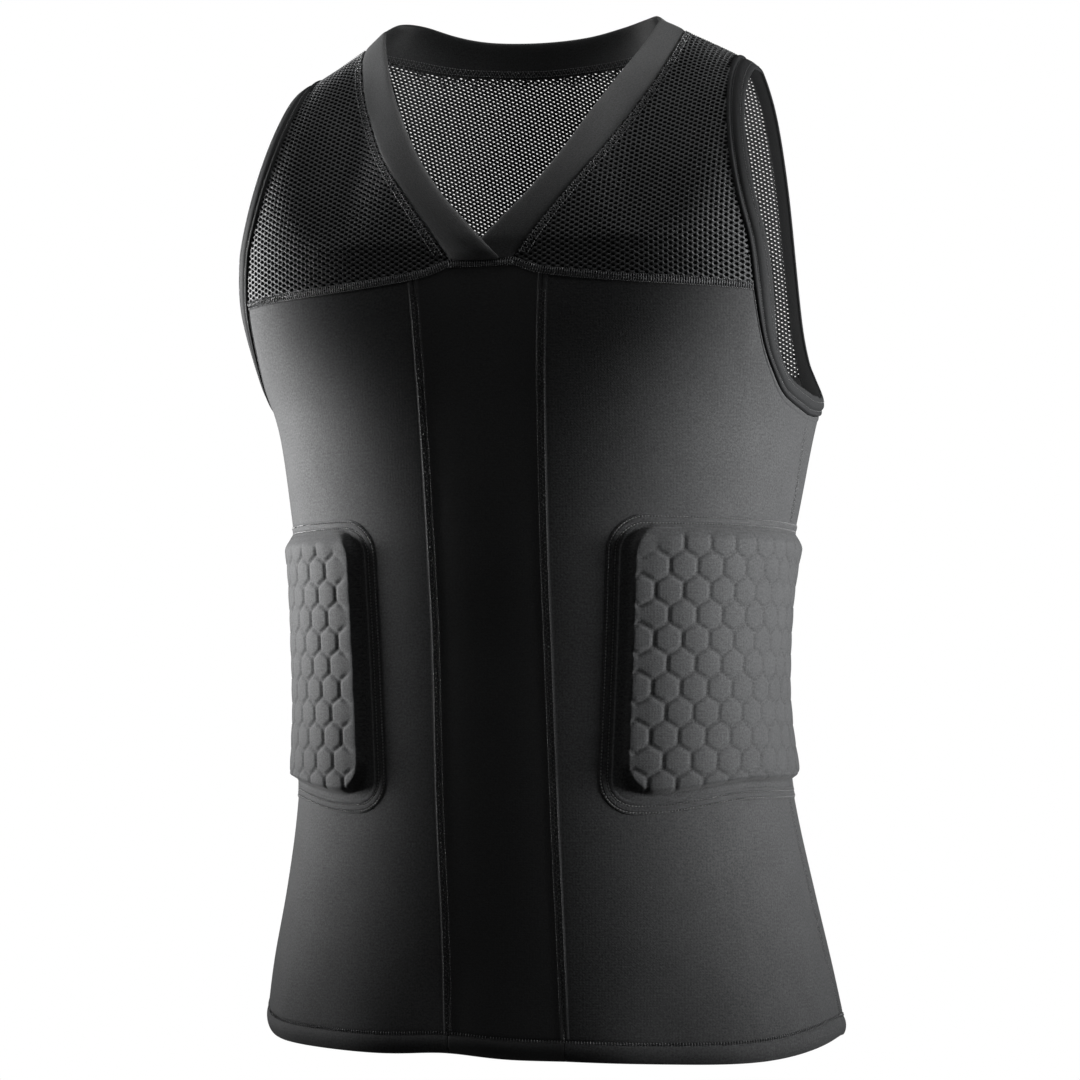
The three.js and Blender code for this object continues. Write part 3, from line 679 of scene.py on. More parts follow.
arm = read(ARM_BACK, "place", np.linspace(0, YOKE_ROW, 60))
arm_shares = shares_between(arm, arc_to(SIDE_TURN, arm["seam_z"]), arc_to(180, arm["seam_z"]))
parts = np.linspace(0, 1, 40)
back_shares = np.concatenate([arm_shares[:-1], mix(arm_shares[-1], 1, parts)])
back_tops = np.concatenate([arm["seam_z"][:-1], back_seam_at(parts)])
left_half = np.concatenate([SEAM_STEPS, np.linspace(SEAM_STEPS[-1], BACK_HALF_WIDTH, 36)[1:],
                            arm_shares[-1] * BACK_HALF_WIDTH + CORNER_STEPS])
left_half = np.sort(left_half) / BACK_HALF_WIDTH
across = np.concatenate([left_half, left_half[-2::-1]])[None, :]
side = np.where(np.arange(across.shape[1]) < len(left_half), 1, -1)[None, :]
share, offset, outer_lift, inner_lift = panel_rows()
top_z = np.interp(across, back_shares, back_tops)
z = mix(top_z, hem_at(side * mix(SIDE_TURN, 180, across)), share) + offset
start, middle = arc_to(SIDE_TURN, z), arc_to(180, z)
way = mix(start, middle, across)
arc = np.where(side > 0, way, 2 * middle - way)
lip = np.interp(way - start, SEAM_STEPS, SEAM_LIP * SIDE_SEAM_SHARE)
outer, inner = panel_faces(arc, z, lip, outer_lift, inner_lift, wave_arc=side * way)
back_cloth = closed_cloth("back_cloth", outer, inner, np.stack([arc, z], axis=-1))
soften(back_cloth, 1)
dress(back_cloth, side_finish, "stretch_knit", "back_panel")

PAD_TOP, PAD_BOTTOM, PAD_SIDE_RISE, PAD_CLEAR = -325, -515.5, 9, 2
SIDE_SEAM_TOP, SIDE_SEAM_FOOT, SIDE_SEAM_LIFTS = -262, -650, (0.1, 0.06)
above_pad = (SIDE_SEAM_TOP, PAD_TOP - PAD_CLEAR)
below_pad = (PAD_BOTTOM + PAD_SIDE_RISE + PAD_CLEAR, SIDE_SEAM_FOOT)
seam_rows = []
for side in (1, -1):
    for span in (above_pad, below_pad):
        z = np.linspace(*span, 120)
        seam_rows += flat_seam(side, arc_to(SIDE_TURN, z), z, SIDE_SEAM_LIFTS)
stitches("side_seam_stitches", seam_rows, seam_thread, "stretch_knit")

HEM_STITCH_RISE, HEM_STITCH_LIFT = 13.2, 0.1
turn = np.linspace(0.1, 359.9, 721)
hem_z = hem_at(turn) + HEM_STITCH_RISE
hem_arc = np.sign(180 - turn) * arc_to(180 - np.abs(180 - turn), hem_z)
hung_z = hem_z + hem_pull(hem_arc, hem_z)
hem_line = seam_line(round_body, hem_arc, hung_z, hem_wave(hem_arc, hem_z) + HEM_STITCH_LIFT)
hem_row = sew(*hem_line, pitch=1.9, length=2.6, thickness=0.6, slant=90)
hem_thread = thread_finish("hem thread", (0.05, 0.051, 0.053))
stitches("hem_stitches", [hem_row], hem_thread, "stretch_knit")


# FRONT YOKES
# Open-hole mesh over the shoulders, stretched between the neck band, the armholes and the chest seam.
# The net has hexagon holes, and a near-black sheet under it paints the shade seen through them. A ladder of
# thread joins it below.

NECK_FRONT = through("seam_x seam_z edge_x edge_z", [
    (21, -163, -14, -163),
    (38, -140, 10, -138),
    (57, -115, 31, -115),
    (75, -90, 49, -90),
    (89, -65, 64, -64),
    (101, -40, 78, -38),
    (109, -16, 90, -13),
    (111, -4, 95, 3),
])
STRAND_HEIGHT = 0.8
NET_REACH, NET_TUCK = (176, 350), 1.6
FRONT_CELL, FRONT_HOLE = 2.0, (0.56, 0.31, 0.10)
YOKE_MIDDLE, SHADE_SHEET_SPREAD = (85, -95), 1.08
SHADE_SHEET_LIFT, SHADE_SHEET_THICKNESS = -1.05, 0.3
NUMBERS_A_COLUMN = 100000
DRAPE_ACROSS = np.arange(0, 190, 3.0)
DRAPE_DOWN = np.arange(0, 360, 1.0)
ROW_LEVEL, WAY_TO_LEVEL = -120, 210
LADDER_PITCH, RAIL_DROP = 1.6, 2.4


def drape_table(half, lowest):
    """Heights on each line down from the shoulder, by a way along the cloth that is level in one row."""
    heights, starts = [], []
    for x in DRAPE_ACROSS:
        crest = float(read(SHOULDER, "x", x)["z"])
        z = mix(crest, lowest, np.linspace(0, 1, 400) ** 2)
        line = on_half(half, np.full(len(z), x), z)
        way = way_along(line)
        starts.append(WAY_TO_LEVEL - np.interp(-ROW_LEVEL, -z, way))
        heights.append(np.interp(DRAPE_DOWN, way + starts[-1], z))
    return np.array(heights), np.array(starts)


DRAPES = {"front": drape_table("front", -200), "back": drape_table("back", -240)}


def crest_way(half, x):
    return np.interp(np.abs(x), DRAPE_ACROSS, DRAPES[half][1])


def drape(half, x, way):
    """A point by its place across and its way down the cloth."""
    way = np.maximum(way, crest_way(half, x) + 0.2)
    z = look_up(DRAPES[half][0], np.abs(x) / (DRAPE_ACROSS[1] - DRAPE_ACROSS[0]), way)
    return on_half(half, x, z)


def outline_distance(outline, x, z):
    """Distance in to an outline seen from the front, below zero outside it."""
    start, end = outline, np.roll(outline, -1, axis=0)
    inside = np.zeros(x.shape, bool)
    nearest = np.full(x.shape, np.inf)
    for (x0, z0), (x1, z1) in zip(start, end):
        length = max((x1 - x0) ** 2 + (z1 - z0) ** 2, 1e-9)
        t = np.clip(((x - x0) * (x1 - x0) + (z - z0) * (z1 - z0)) / length, 0, 1)
        nearest = np.minimum(nearest, np.hypot(x - mix(x0, x1, t), z - mix(z0, z1, t)))
        if z0 != z1:
            crossing = x0 + (z - z0) * (x1 - x0) / (z1 - z0)
            inside ^= ((z0 > z) != (z1 > z)) & (x < crossing)
    return np.where(inside, nearest, -nearest)


def net(name, half, outline, cell, hole):
    """A net of hexagon holes: strands with a ridge outside, which neighbours share, and flat inside."""
    reach_across, reach_down = NET_REACH
    last_column = int(reach_across / (1.5 * cell))
    columns = np.arange(-last_column, last_column + 1)
    rows = np.arange(0, int(reach_down / (math.sqrt(3) * cell)) + 1)
    column, row = (grid.ravel() for grid in np.meshgrid(columns, rows))
    level = 2 * row + column % 2
    x, way = 1.5 * cell * column, math.sqrt(3) / 2 * cell * level
    middle = drape(half, x, way)
    kept = outline_distance(outline, middle[:, 0], middle[:, 2]) > -NET_TUCK
    kept &= way > crest_way(half, x)
    cells = np.unique(column[kept] * NUMBERS_A_COLUMN + level[kept])
    column, level = cells // NUMBERS_A_COLUMN, cells % NUMBERS_A_COLUMN
    side_steps = np.array([2, 1, -1, -2, -1, 1])
    down_steps = np.array([0, 1, 1, 0, -1, -1])
    corner_x, corner_down = 3 * column[:, None] + side_steps, level[:, None] + down_steps
    corner_numbers = corner_x * NUMBERS_A_COLUMN + corner_down + NUMBERS_A_COLUMN // 2
    _, first, ridge = np.unique(corner_numbers, return_index=True, return_inverse=True)
    ridge = ridge.reshape(corner_x.shape)
    out = 1 if half == "front" else -1

    def surface(a, b):
        return drape(half, a, -b)

    def lifted(across, down, lift):
        x = across * cell / 2
        way = np.maximum(down * math.sqrt(3) / 2 * cell, crest_way(half, x) + 0.4)
        return surface(x, -way) + out * outward(surface, x, -way, 0.15) * lift

    ridges = lifted(corner_x.ravel()[first], corner_down.ravel()[first], 0)
    wide, tall, tilt = hole
    rims = lifted((3 * column[:, None] + wide * side_steps).ravel(),
                  (level[:, None] + tall * down_steps + tilt * side_steps).ravel(), -STRAND_HEIGHT)
    rim = np.arange(rims.shape[0]).reshape(-1, 6) + len(ridges)
    following = np.roll(np.arange(6), -1)
    quads = [np.stack([ridge, ridge[:, following], rim[:, following], rim], axis=-1).reshape(-1, 4)]
    for k, (sideways, downward) in enumerate(((1, 1), (0, 2), (-1, 1), (-1, -1), (0, -2), (1, -1))):
        sought = (column + sideways) * NUMBERS_A_COLUMN + level + downward
        found = np.minimum(np.searchsorted(cells, sought), len(cells) - 1)
        joined = cells[found] == sought
        after = (k + 1) % 6
        quads.append(np.stack([rim[:, after], rim[:, k], ridge[:, k], ridge[:, after]], axis=1)[~joined])
        if k < 3:
            other = rim[found]
            across = [rim[:, k], rim[:, after], other[:, (k + 3) % 6], other[:, (k + 4) % 6]]
            quads.append(np.stack(across, axis=1)[joined])
    order = np.argsort(ridge, axis=None, kind="stable")
    meeting = np.bincount(ridge.ravel())
    start = np.cumsum(meeting) - meeting
    around = rim.ravel()[order]
    threes, twos = np.flatnonzero(meeting == 3), np.flatnonzero(meeting == 2)
    corners = [np.stack([around[start[threes] + k] for k in range(3)], axis=1),
               np.stack([around[start[twos]], around[start[twos] + 1], twos], axis=1)]
    mesh = bpy.data.meshes.new(name)
    faces = np.concatenate(quads).tolist() + np.concatenate(corners).tolist()
    mesh.from_pydata((np.concatenate([ridges, rims]) * MM).tolist(), [], faces)
    bm = bmesh.new()
    bm.from_mesh(mesh)
    bmesh.ops.recalc_face_normals(bm, faces=bm.faces)
    bm.to_mesh(mesh)
    bm.free()
    return add_piece(name, mesh)


def front_surface(a, b):
    return on_half("front", a, b)


def on_edge(line, part):
    """Places on an edge, by the share of its points that come before."""
    return np.stack([np.interp(part, np.linspace(0, 1, len(line)), column) for column in line.T], axis=-1)


def shade_sheet_faces(neck, arm, shoulder, foot):
    """Both faces and the weave of the near-black sheet under a front net, painted shade for its holes, spread
    between its four edges.
    """
    across, down = np.linspace(0, 1, 37)[None, :], np.linspace(0, 1, 49)[:, None] ** 1.2
    sides = mix(on_edge(neck, down), on_edge(arm, down), across[..., None])
    top_bow = on_edge(shoulder, across) - mix(shoulder[0], shoulder[-1], across[..., None])
    foot_bow = on_edge(foot, across) - mix(foot[0], foot[-1], across[..., None])
    place = sides + mix(top_bow, foot_bow, down[..., None])
    x, z = place[..., 0], place[..., 1]
    z = np.minimum(z, read(SHOULDER, "x", np.abs(x))["z"] - 0.3)
    base = front_surface(x, z)
    normals = outward(front_surface, x, z, 0.1)
    inner = base + normals * (SHADE_SHEET_LIFT - SHADE_SHEET_THICKNESS)
    return base + normals * SHADE_SHEET_LIFT, inner, np.stack([x, z], axis=-1)


def net_finish(name, dark, light):
    finish, tree, shader = new_finish(name)
    place = node(tree, "ShaderNodeTexCoord").outputs["Object"]
    yarn = node(tree, "ShaderNodeTexNoise", {"Vector": place, "Scale": 700.0, "Detail": 4.0})
    patches = node(tree, "ShaderNodeTexNoise", {"Vector": place, "Scale": 25.0, "Detail": 2.0})
    both = node(tree, "ShaderNodeMix", {"Factor": 0.4, 2: yarn.outputs[0], 3: patches.outputs[0]})
    spread = node(tree, "ShaderNodeMapRange", {
        "Value": both.outputs[0], "From Min": 0.35, "From Max": 0.65})
    tree.links.new(blend_colours(tree, spread.outputs[0], dark, light), shader.inputs["Base Color"])
    relief = node(tree, "ShaderNodeBump", {
        "Height": yarn.outputs[0], "Strength": 0.4, "Distance": 0.0003})
    tree.links.new(relief.outputs[0], shader.inputs["Normal"])
    set_shader(shader, Roughness=0.6, Specular_IOR_Level=0.25, Sheen_Weight=0.03)
    return finish


def neck_seam(table, places):
    """Places across and up along the seam of the neck."""
    neck = read(table, "place", places)
    return np.stack([neck["seam_x"], neck["seam_z"]], axis=1)


def arm_seam(table):
    """Places across and up along the seam of an armhole, from the shoulder to the foot of the mesh."""
    arm = read(table, "place", np.linspace(9, YOKE_ROW, 80))
    return at_turn(arm["seam_turn"], arm["seam_z"])[:, [0, 2]]


def crest_between(inner_x, outer_x):
    """Places across and up along the shoulder line."""
    x = np.linspace(inner_x, outer_x, 30)
    return np.stack([x, read(SHOULDER, "x", x)["z"]], axis=1)


def ladder(surface, x, z):
    """A ladder of thread along a seam: rungs across it, and a rail below and above them."""
    rungs = seam_line(surface, x, z, 0.45)
    rows = [sew(*rungs, LADDER_PITCH, length=5.2, thickness=0.75, slant=90)]
    for drop, lift in ((RAIL_DROP, 0.5), (-RAIL_DROP, 0.35)):
        rail = seam_line(surface, x, z - drop, lift)
        rows.append(sew(*rail, LADDER_PITCH, length=1.3, thickness=0.5))
    return rows


neck_line = neck_seam(NECK_FRONT, np.linspace(7, 0, 80))
arm_line = arm_seam(ARM_FRONT)
crest_line = crest_between(neck_line[0, 0], arm_line[0, 0])
chest_x = np.linspace(neck_line[-1, 0], arm_line[-1, 0], 60)
chest_line = np.stack([chest_x, read(YOKE_SEAM, "x", chest_x)["z"]], axis=1)
yoke_outline = np.concatenate([crest_line, arm_line[1:], chest_line[-2::-1], neck_line[-2:0:-1]])
mesh_finish = net_finish("open mesh", (0.042, 0.043, 0.044), (0.078, 0.0795, 0.082))
# Near-black finish of the sheet under the front nets: painted shade seen through the holes.
shade_sheet_finish, _, shade_sheet_shader, _ = knit_finish(
    "mesh shade sheet", (0.002, 0.002, 0.002), (0.004, 0.004, 0.004),
    courses=900, roughness=0.8, bump=0.1)
set_shader(shade_sheet_shader, Specular_IOR_Level=0.1)
spread_lines = [YOKE_MIDDLE + (line - YOKE_MIDDLE) * SHADE_SHEET_SPREAD
                for line in (neck_line, arm_line, crest_line, chest_line)]
outer, inner, weave = shade_sheet_faces(*spread_lines)
for side, name, node_name in (
        (1, "yoke_mesh_left", "yoke_left"),
        (-1, "yoke_mesh_right", "yoke_right")):
    yoke = net(name, "front", yoke_outline * (side, 1), FRONT_CELL, FRONT_HOLE)
    dress(yoke, mesh_finish, "open_mesh", node_name)
    flip = (side, 1, 1)
    shade_sheet = closed_cloth(f"{name}_ground", outer * flip, inner * flip, weave, mirrored=side < 0)
    dress(shade_sheet, shade_sheet_finish, "open_mesh")

ladder_thread = thread_finish("ladder thread", (0.066, 0.067, 0.069))
x = np.linspace(-arm_line[-1, 0], arm_line[-1, 0], 400)
rows = ladder(front_surface, x, read(YOKE_SEAM, "x", np.abs(x))["z"])
stitches("yoke_seam_stitches", rows, ladder_thread, "open_mesh")


# BACK MESH
# The open-hole mesh of the upper back, one piece from armhole to armhole, seen through the neck.
# It hangs from the shoulder seams, and a ladder of thread joins it to the back panel.

NECK_BACK = through("seam_x seam_z edge_x edge_y edge_z", [
    (111, -4, 95, -2, 3),
    (105, -9, 90, 11, 9),
    (92, -13, 79, 25, 10),
    (68, -17, 59, 38, 8),
    (36, -19, 32, 47, 5),
    (0, -20, 0, 50, 4),
    (-36, -19, -32, 47, 5),
])
BACK_CELL, BACK_HOLE = 1.74, (0.44, 0.24, 0.08)
CREST_RISE, CREST_LIFT = (0.45, 0, 0.9), 0.1


def back_surface(a, b):
    return on_half("back", -a, b)


back_neck_line = neck_seam(NECK_BACK, np.linspace(5, 0, 60))
back_arm_line = arm_seam(ARM_BACK)
back_crest = crest_between(back_neck_line[-1, 0], back_arm_line[0, 0])
foot_x = np.linspace(back_arm_line[-1, 0], 0, 40)
back_foot = np.stack([foot_x, back_seam_at(1 - foot_x / foot_x[0])], axis=1)
half_outline = np.concatenate([back_neck_line, back_crest[1:], back_arm_line[1:], back_foot[1:]])
back_outline = np.concatenate([half_outline, half_outline[-2:0:-1] * (-1, 1)])
back_mesh = net("back_mesh", "back", back_outline, BACK_CELL, BACK_HOLE)
dress(back_mesh, mesh_finish, "open_mesh", "back_yoke")

foot_x = np.linspace(-back_arm_line[-1, 0], back_arm_line[-1, 0], 400)
rows = ladder(back_surface, foot_x, back_seam_at(1 - np.abs(foot_x) / back_arm_line[-1, 0]))
crest_x, crest_z = back_crest.T
crest = np.stack([crest_x, read(SHOULDER, "x", crest_x)["y"], crest_z], axis=1)
crest_rise = np.tile(CREST_RISE, (len(crest), 1))
for side in (1, -1):
    line, rise = (vectors * (side, 1, 1) for vectors in (crest + crest_rise * CREST_LIFT, crest_rise))
    rows.append(sew(line, rise, pitch=1.5, length=4.0, thickness=0.5, slant=90))
stitches("back_seam_stitches", rows, ladder_thread, "open_mesh")


# NECK BAND
# One strip of satin-faced elastic round the neck, its right end lapped over the left one.
# Twin rows of thread and a zigzag hold the mesh to it, and short ladder stitches close the foot of the V.

BAND_WIDTH, BAND_THICKNESS, EDGING_LIFT, SEAM_GAP = 22, 2.4, 0.5, 0.4
BAND_FOOT, LAP_LENGTH, LAP_PRESSED, PRESSED_REACH = -163, 70, 0.3, 7
COLLAR_STAND, COLLAR_MIDDLE, COLLAR_REACH = 5.5, 84, 22
BAND_MIDDLE, FOOT_GAP, FRONT_COLUMNS = 5, 3, 100
LAP_SPAN, COLLAR_SPAN = (-0.1, 0.6), (-50, 0)
FOOT_HALF_WIDTH, FOOT_STITCH_LEVEL, FOOT_STITCH_LIFT = 22, -165.3, 0.9
TWIN_STITCH = dict(pitch=1.8, length=1.5, thickness=0.8)
TWIN_ZIGZAG = dict(pitch=1.5, length=3.8, thickness=0.5, slant=60)
INSIDE_STITCH = dict(pitch=1.8, length=1.5, thickness=0.7)
INSIDE_ZIGZAG = dict(pitch=1.8, length=3.8, thickness=0.45, slant=60)
BAND_ACROSS = np.array([0, 0.03, 0.08, 0.16, 0.3, 0.5, 0.7, 0.84, 0.92, 0.97, 1.0])
BAND_OUTER = np.array([-0.9, -0.4, 0.0, 0.3, 0.45, 0.5, 0.45, 0.35, 0.1, -0.3, -0.9])
BAND_INNER = np.array([-1.3, -1.9, -2.2, -2.4, -2.4, -2.4, -2.4, -2.4, -2.2, -1.9, -1.4])


def band_grid(across):
    """Points across the band, from its right end round the neck to the other."""
    front = read(NECK_FRONT, "place", np.linspace(0, 7, 90))
    back = read(NECK_BACK, "place", np.linspace(0, 5, 70)[1:])
    x = mix(front["seam_x"][:, None], front["edge_x"][:, None], across)
    z = mix(front["seam_z"][:, None], front["edge_z"][:, None], across)
    front_points = front_surface(x, np.minimum(z, read(SHOULDER, "x", np.abs(x))["z"]))
    seam = on_half("back", back["seam_x"], back["seam_z"])
    edge = np.stack([back["edge_x"], back["edge_y"], back["edge_z"]], axis=-1)
    back_points = mix(seam[:, None], edge[:, None], across[..., None])
    left = np.concatenate([front_points, back_points])
    stand = across * COLLAR_STAND * np.exp(-((left[..., 0] - COLLAR_MIDDLE) / COLLAR_REACH) ** 2)
    right = left * (-1, 1, 1)
    right[..., 2] += stand * ease(*COLLAR_SPAN, right[..., 2])
    return np.concatenate([right, left[-2::-1]]).transpose(1, 0, 2)


def grid_normals(points, looped=False):
    """Directions out of a grid whose columns run to the left and whose rows run down."""
    if looped:
        wide = np.concatenate([points[:, -2:-1], points, points[:, 1:2]], axis=1)
        along = np.gradient(wide, axis=1)[:, 1:-1]
    else:
        along = np.gradient(points, axis=1)
    return unit(np.cross(along, -np.gradient(points, axis=0)))


points = band_grid(BAND_ACROSS[None, :])
normals = grid_normals(points)
columns = points.shape[1]
above_foot = points[BAND_MIDDLE, :, 2] - BAND_FOOT
from_end = np.clip(above_foot / LAP_LENGTH, 0, 1)
on_top = np.arange(columns) < columns // 2
pressed = mix(LAP_PRESSED, 1, ease(0, PRESSED_REACH, above_foot))
lap = on_top * pressed * (BAND_THICKNESS + SEAM_GAP) * (1 - from_end) ** 2
lap = EDGING_LIFT + lap[None, :] * ease(*LAP_SPAN, BAND_ACROSS)[:, None]
outer = points + normals * (lap + BAND_OUTER[:, None])[..., None]
inner = points + normals * (lap + BAND_INNER[:, None])[..., None]
along_band = way_along(points[BAND_MIDDLE])[None, :]
weave = np.stack(np.broadcast_arrays(along_band, BAND_WIDTH * BAND_ACROSS[:, None]), axis=-1)
neck_band = closed_cloth("neck_band_cloth", outer, inner, weave)
soften(neck_band, 1)
band_finish, _, band_shader, _ = knit_finish(
    "satin band", (0.022, 0.0226, 0.0232), (0.054, 0.0554, 0.0568),
    courses=900, roughness=0.5, bump=0.45)
set_shader(band_shader, Specular_IOR_Level=0.4, Sheen_Weight=0.1, Sheen_Roughness=0.4)
dress(neck_band, band_finish, "satin_band", "neck_band")

rows = []
mesh_side = band_grid(np.array([[-0.32, -0.22, -0.12, -0.05, 0.0]]))
side_normals = grid_normals(mesh_side)
sewn = slice(FOOT_GAP, -FOOT_GAP)
for row, lift, stitch in ((3, 0.35, TWIN_STITCH), (1, 0.25, TWIN_STITCH), (2, 0.2, TWIN_ZIGZAG)):
    line = mesh_side[row] + side_normals[row] * lift
    rows.append(sew(line[sewn], side_normals[row][sewn], **stitch))
foot_x = np.linspace(-FOOT_HALF_WIDTH, FOOT_HALF_WIDTH, 60)
foot_line = seam_line(front_surface, foot_x, np.full(60, FOOT_STITCH_LEVEL), FOOT_STITCH_LIFT)
rows.append(sew(*foot_line, LADDER_PITCH, length=4.6, thickness=0.75, slant=90))
inside = band_grid(np.array([[0.08, 0.15, 0.22]]))
inside_normals = grid_normals(inside)
sewn = slice(FRONT_COLUMNS, columns - FRONT_COLUMNS)
for row, stitch in enumerate((INSIDE_STITCH, INSIDE_ZIGZAG, INSIDE_STITCH)):
    line = inside[row] + inside_normals[row] * (EDGING_LIFT - BAND_THICKNESS - 0.1)
    rows.append(sew(line[sewn], -inside_normals[row][sewn], **stitch))
neck_thread = thread_finish("neck thread", (0.1, 0.102, 0.104))
stitches("neck_stitches", rows, neck_thread, "satin_band")


# ARMHOLE BINDINGS
# A folded, matt elastic binding round each armhole: a narrow ridge beside the panel, then the wide fold.
# One row of thread runs along the wide fold and holds it shut, and one runs in the dip beside the ridge.

BINDING_ACROSS, BINDING_OUTER = np.array([
    (0.02, -0.9), (0.05, -0.2), (0.10, 0.6), (0.16, 0.75), (0.21, 0.5), (0.26, -0.15), (0.30, -0.25),
    (0.35, 0.2), (0.42, 0.75), (0.52, 1.0), (0.66, 0.95), (0.74, 0.7), (0.82, 0.85), (0.92, 0.5),
    (0.98, -0.1), (1.0, -0.7)]).T
BINDING_INNER = np.interp(
    BINDING_ACROSS, [0.02, 0.06, 0.15, 0.9, 0.97, 1], [-1.2, -1.7, -2, -2, -1.7, -1.1])
BINDING_WIDTH, BINDING_COLUMNS, BINDING_MIDDLE, FRONT_FOLD = 13, 241, 8, 0.74
FOLD_ROW, DIP_ROW = 11, 6


def binding_grid(across):
    """Points across the binding at even steps round it, from the side seam up the front and down."""
    front = read(ARM_FRONT, "place", np.linspace(0, 9, 2000))
    back = read(ARM_BACK, "place", np.linspace(9, 0, 2000)[1:])
    lines = []
    folds = [mix(1, FRONT_FOLD, ease(*span, arm["place"])) for arm, span in ((front, (0, 2)), (back, (6, 9)))]
    for share in across:
        halves = [at_turn(mix(arm["seam_turn"], arm["edge_turn"], share * fold),
                          mix(arm["seam_z"], arm["edge_z"], share * fold))
                  for arm, fold in zip((front, back), folds)]
        lines.append(np.concatenate(halves))
    way = way_along(lines[BINDING_MIDDLE])
    even = np.linspace(0, way[-1], BINDING_COLUMNS)
    return np.array([[np.interp(even, way, part) for part in line.T] for line in lines]).transpose(0, 2, 1)


binding_finish, _, binding_shader, _ = knit_finish(
    "binding elastic", (0.014, 0.0144, 0.0149), (0.027, 0.0277, 0.0286),
    courses=1100, roughness=0.72, bump=0.25)
set_shader(binding_shader, Specular_IOR_Level=0.08)
binding_points = binding_grid(BINDING_ACROSS)
along_loop = way_along(binding_points[BINDING_MIDDLE])[None, :]
weave = np.stack(np.broadcast_arrays(along_loop, BINDING_WIDTH * BINDING_ACROSS[:, None]), axis=-1)
for side, name, node_name in (
        (1, "binding_cloth_left", "armhole_binding_left"),
        (-1, "binding_cloth_right", "armhole_binding_right")):
    points = binding_points * (side, 1, 1)
    normals = grid_normals(points, looped=True) * side
    outer, inner = (points + normals * (EDGING_LIFT + lift)[:, None, None]
                    for lift in (BINDING_OUTER, BINDING_INNER))
    binding = closed_cloth(name, outer, inner, weave, looped=True)
    soften(binding, 1)
    dress(binding, binding_finish, "satin_band", node_name)
    rows = []
    for row, pitch in ((FOLD_ROW, 2.0), (DIP_ROW, 1.7)):
        line = points[row] + normals[row] * (EDGING_LIFT + BINDING_OUTER[row] + 0.1)
        rows.append(sew(line, normals[row], pitch, length=1.5, thickness=0.5))
    stitches(f"binding_stitches_{'left' if side > 0 else 'right'}", rows, seam_thread, "satin_band")


# RIB PADS
# Foam hexagons under a charcoal knit cover, one pad round each flank, over the side seam.
# The cover is sewn down round its edge with two rows of thread, and pressed into the grooves.

PAD_START, PAD_WIDTH, PAD_CORNER, PAD_LEAN = 79.5, 202.5, 24, 9
PAD_SPACING, EDGE_SPACING, EDGE_REACH = 1.15, 0.6, 8.4
PAD_FLANGE = np.array([
    (0, 0.08), (0.6, 0.4), (1.2, 0.06), (1.8, 0.06), (2.4, 0.5), (4.8, 0.55), (5.4, 0.08), (6.0, 0.08),
    (6.6, 0.6), (9, 0.75), (13, 0.95), (20, 1.2)])
PAD_UNDERSIDE, FLANK_RISE_SPAN = 0.02, (110, 190)
STITCH_INSETS, STITCH_LIFT, HOLE_SINK, RING_STEPS = (1.5, 5.7), 0.3, 0.15, 300
INSET_FRONT, INSET_TOP, INSET_BOTTOM = 13.6, 3.5, 12
FIELD_CORNER, FIELD_RISE, FIELD_SLOPE, TOP_SLOPE = 22, 5.8, 4.5, 13
CELL_ACROSS, CELL_DOWN = 17.84, 15.45
CELL_START, CELL_TOP, CELL_SHARPNESS = 100.8, -373.0, 14
CROWN_RISE, CROWN_SPAN = 0.3, (1.0, 8.0)
GROOVE_DEPTH, GROOVE_DEPTH_FLANK, FLANK_SPAN = 1.1, 0.7, (115, 180)
GROOVE_WALL, GROOVE_START, PLAIN_CORNER = (0.2, 2.0), (1.0, 4.2), (20, 30)


def pad_places(across, down):
    """Rounds the corners of an even grid, and gives the distance in from the sewn edge."""
    length = PAD_TOP - PAD_BOTTOM
    a, b = across - PAD_WIDTH / 2, down - length / 2
    past_a = np.maximum(np.abs(a) - (PAD_WIDTH / 2 - PAD_CORNER), 0)
    past_b = np.maximum(np.abs(b) - (length / 2 - PAD_CORNER), 0)
    reach = np.hypot(past_a, past_b)
    furthest = np.maximum(past_a, past_b)
    keep = np.where(reach > 0, furthest / np.maximum(reach, 1e-9), 1)
    from_edge = np.where((past_a > 0) & (past_b > 0), PAD_CORNER - furthest,
                         np.minimum(PAD_WIDTH / 2 - np.abs(a), length / 2 - np.abs(b)))
    arc = PAD_START + PAD_WIDTH / 2 + np.sign(a) * (np.abs(a) - past_a * (1 - keep))
    z = (PAD_TOP + PAD_BOTTOM) / 2 - np.sign(b) * (np.abs(b) - past_b * (1 - keep))
    return arc, z, from_edge


def from_cell_edge(arc, z):
    """Distance in from the nearest side of the hexagon at a place, with its corners rounded.
    Every second row runs on to the front edge without an upright groove."""
    nearest = np.inf
    for shift in (0, 1):
        from_first = arc - CELL_START - shift * CELL_ACROSS / 2
        dx = from_first - CELL_ACROSS * np.round(from_first / CELL_ACROSS)
        dz = z - CELL_TOP - shift * CELL_DOWN
        dz -= 2 * CELL_DOWN * np.round(dz / (2 * CELL_DOWN))
        lean = dz * math.sqrt(0.75)
        upright = np.where((shift == 1) & (from_first < 0), 0, np.abs(dx))
        sides = [upright, np.abs(dx / 2 + lean), np.abs(dx / 2 - lean)]
        nearest = np.minimum(nearest, sum(side ** CELL_SHARPNESS for side in sides) ** (1 / CELL_SHARPNESS))
    return CELL_ACROSS / 2 - nearest


def from_field_edge(arc, z):
    """Distance in from the rounded edge of the raised field, below zero outside it."""
    top = PAD_TOP - INSET_TOP
    bottom = PAD_BOTTOM + INSET_BOTTOM
    past_a = np.abs(arc - PAD_START - PAD_WIDTH / 2) - (PAD_WIDTH / 2 - INSET_FRONT - FIELD_CORNER)
    past_b = np.abs(z - (top + bottom) / 2) - ((top - bottom) / 2 - FIELD_CORNER)
    outside = np.hypot(np.maximum(past_a, 0), np.maximum(past_b, 0))
    return FIELD_CORNER - outside - np.minimum(np.maximum(past_a, past_b), 0)


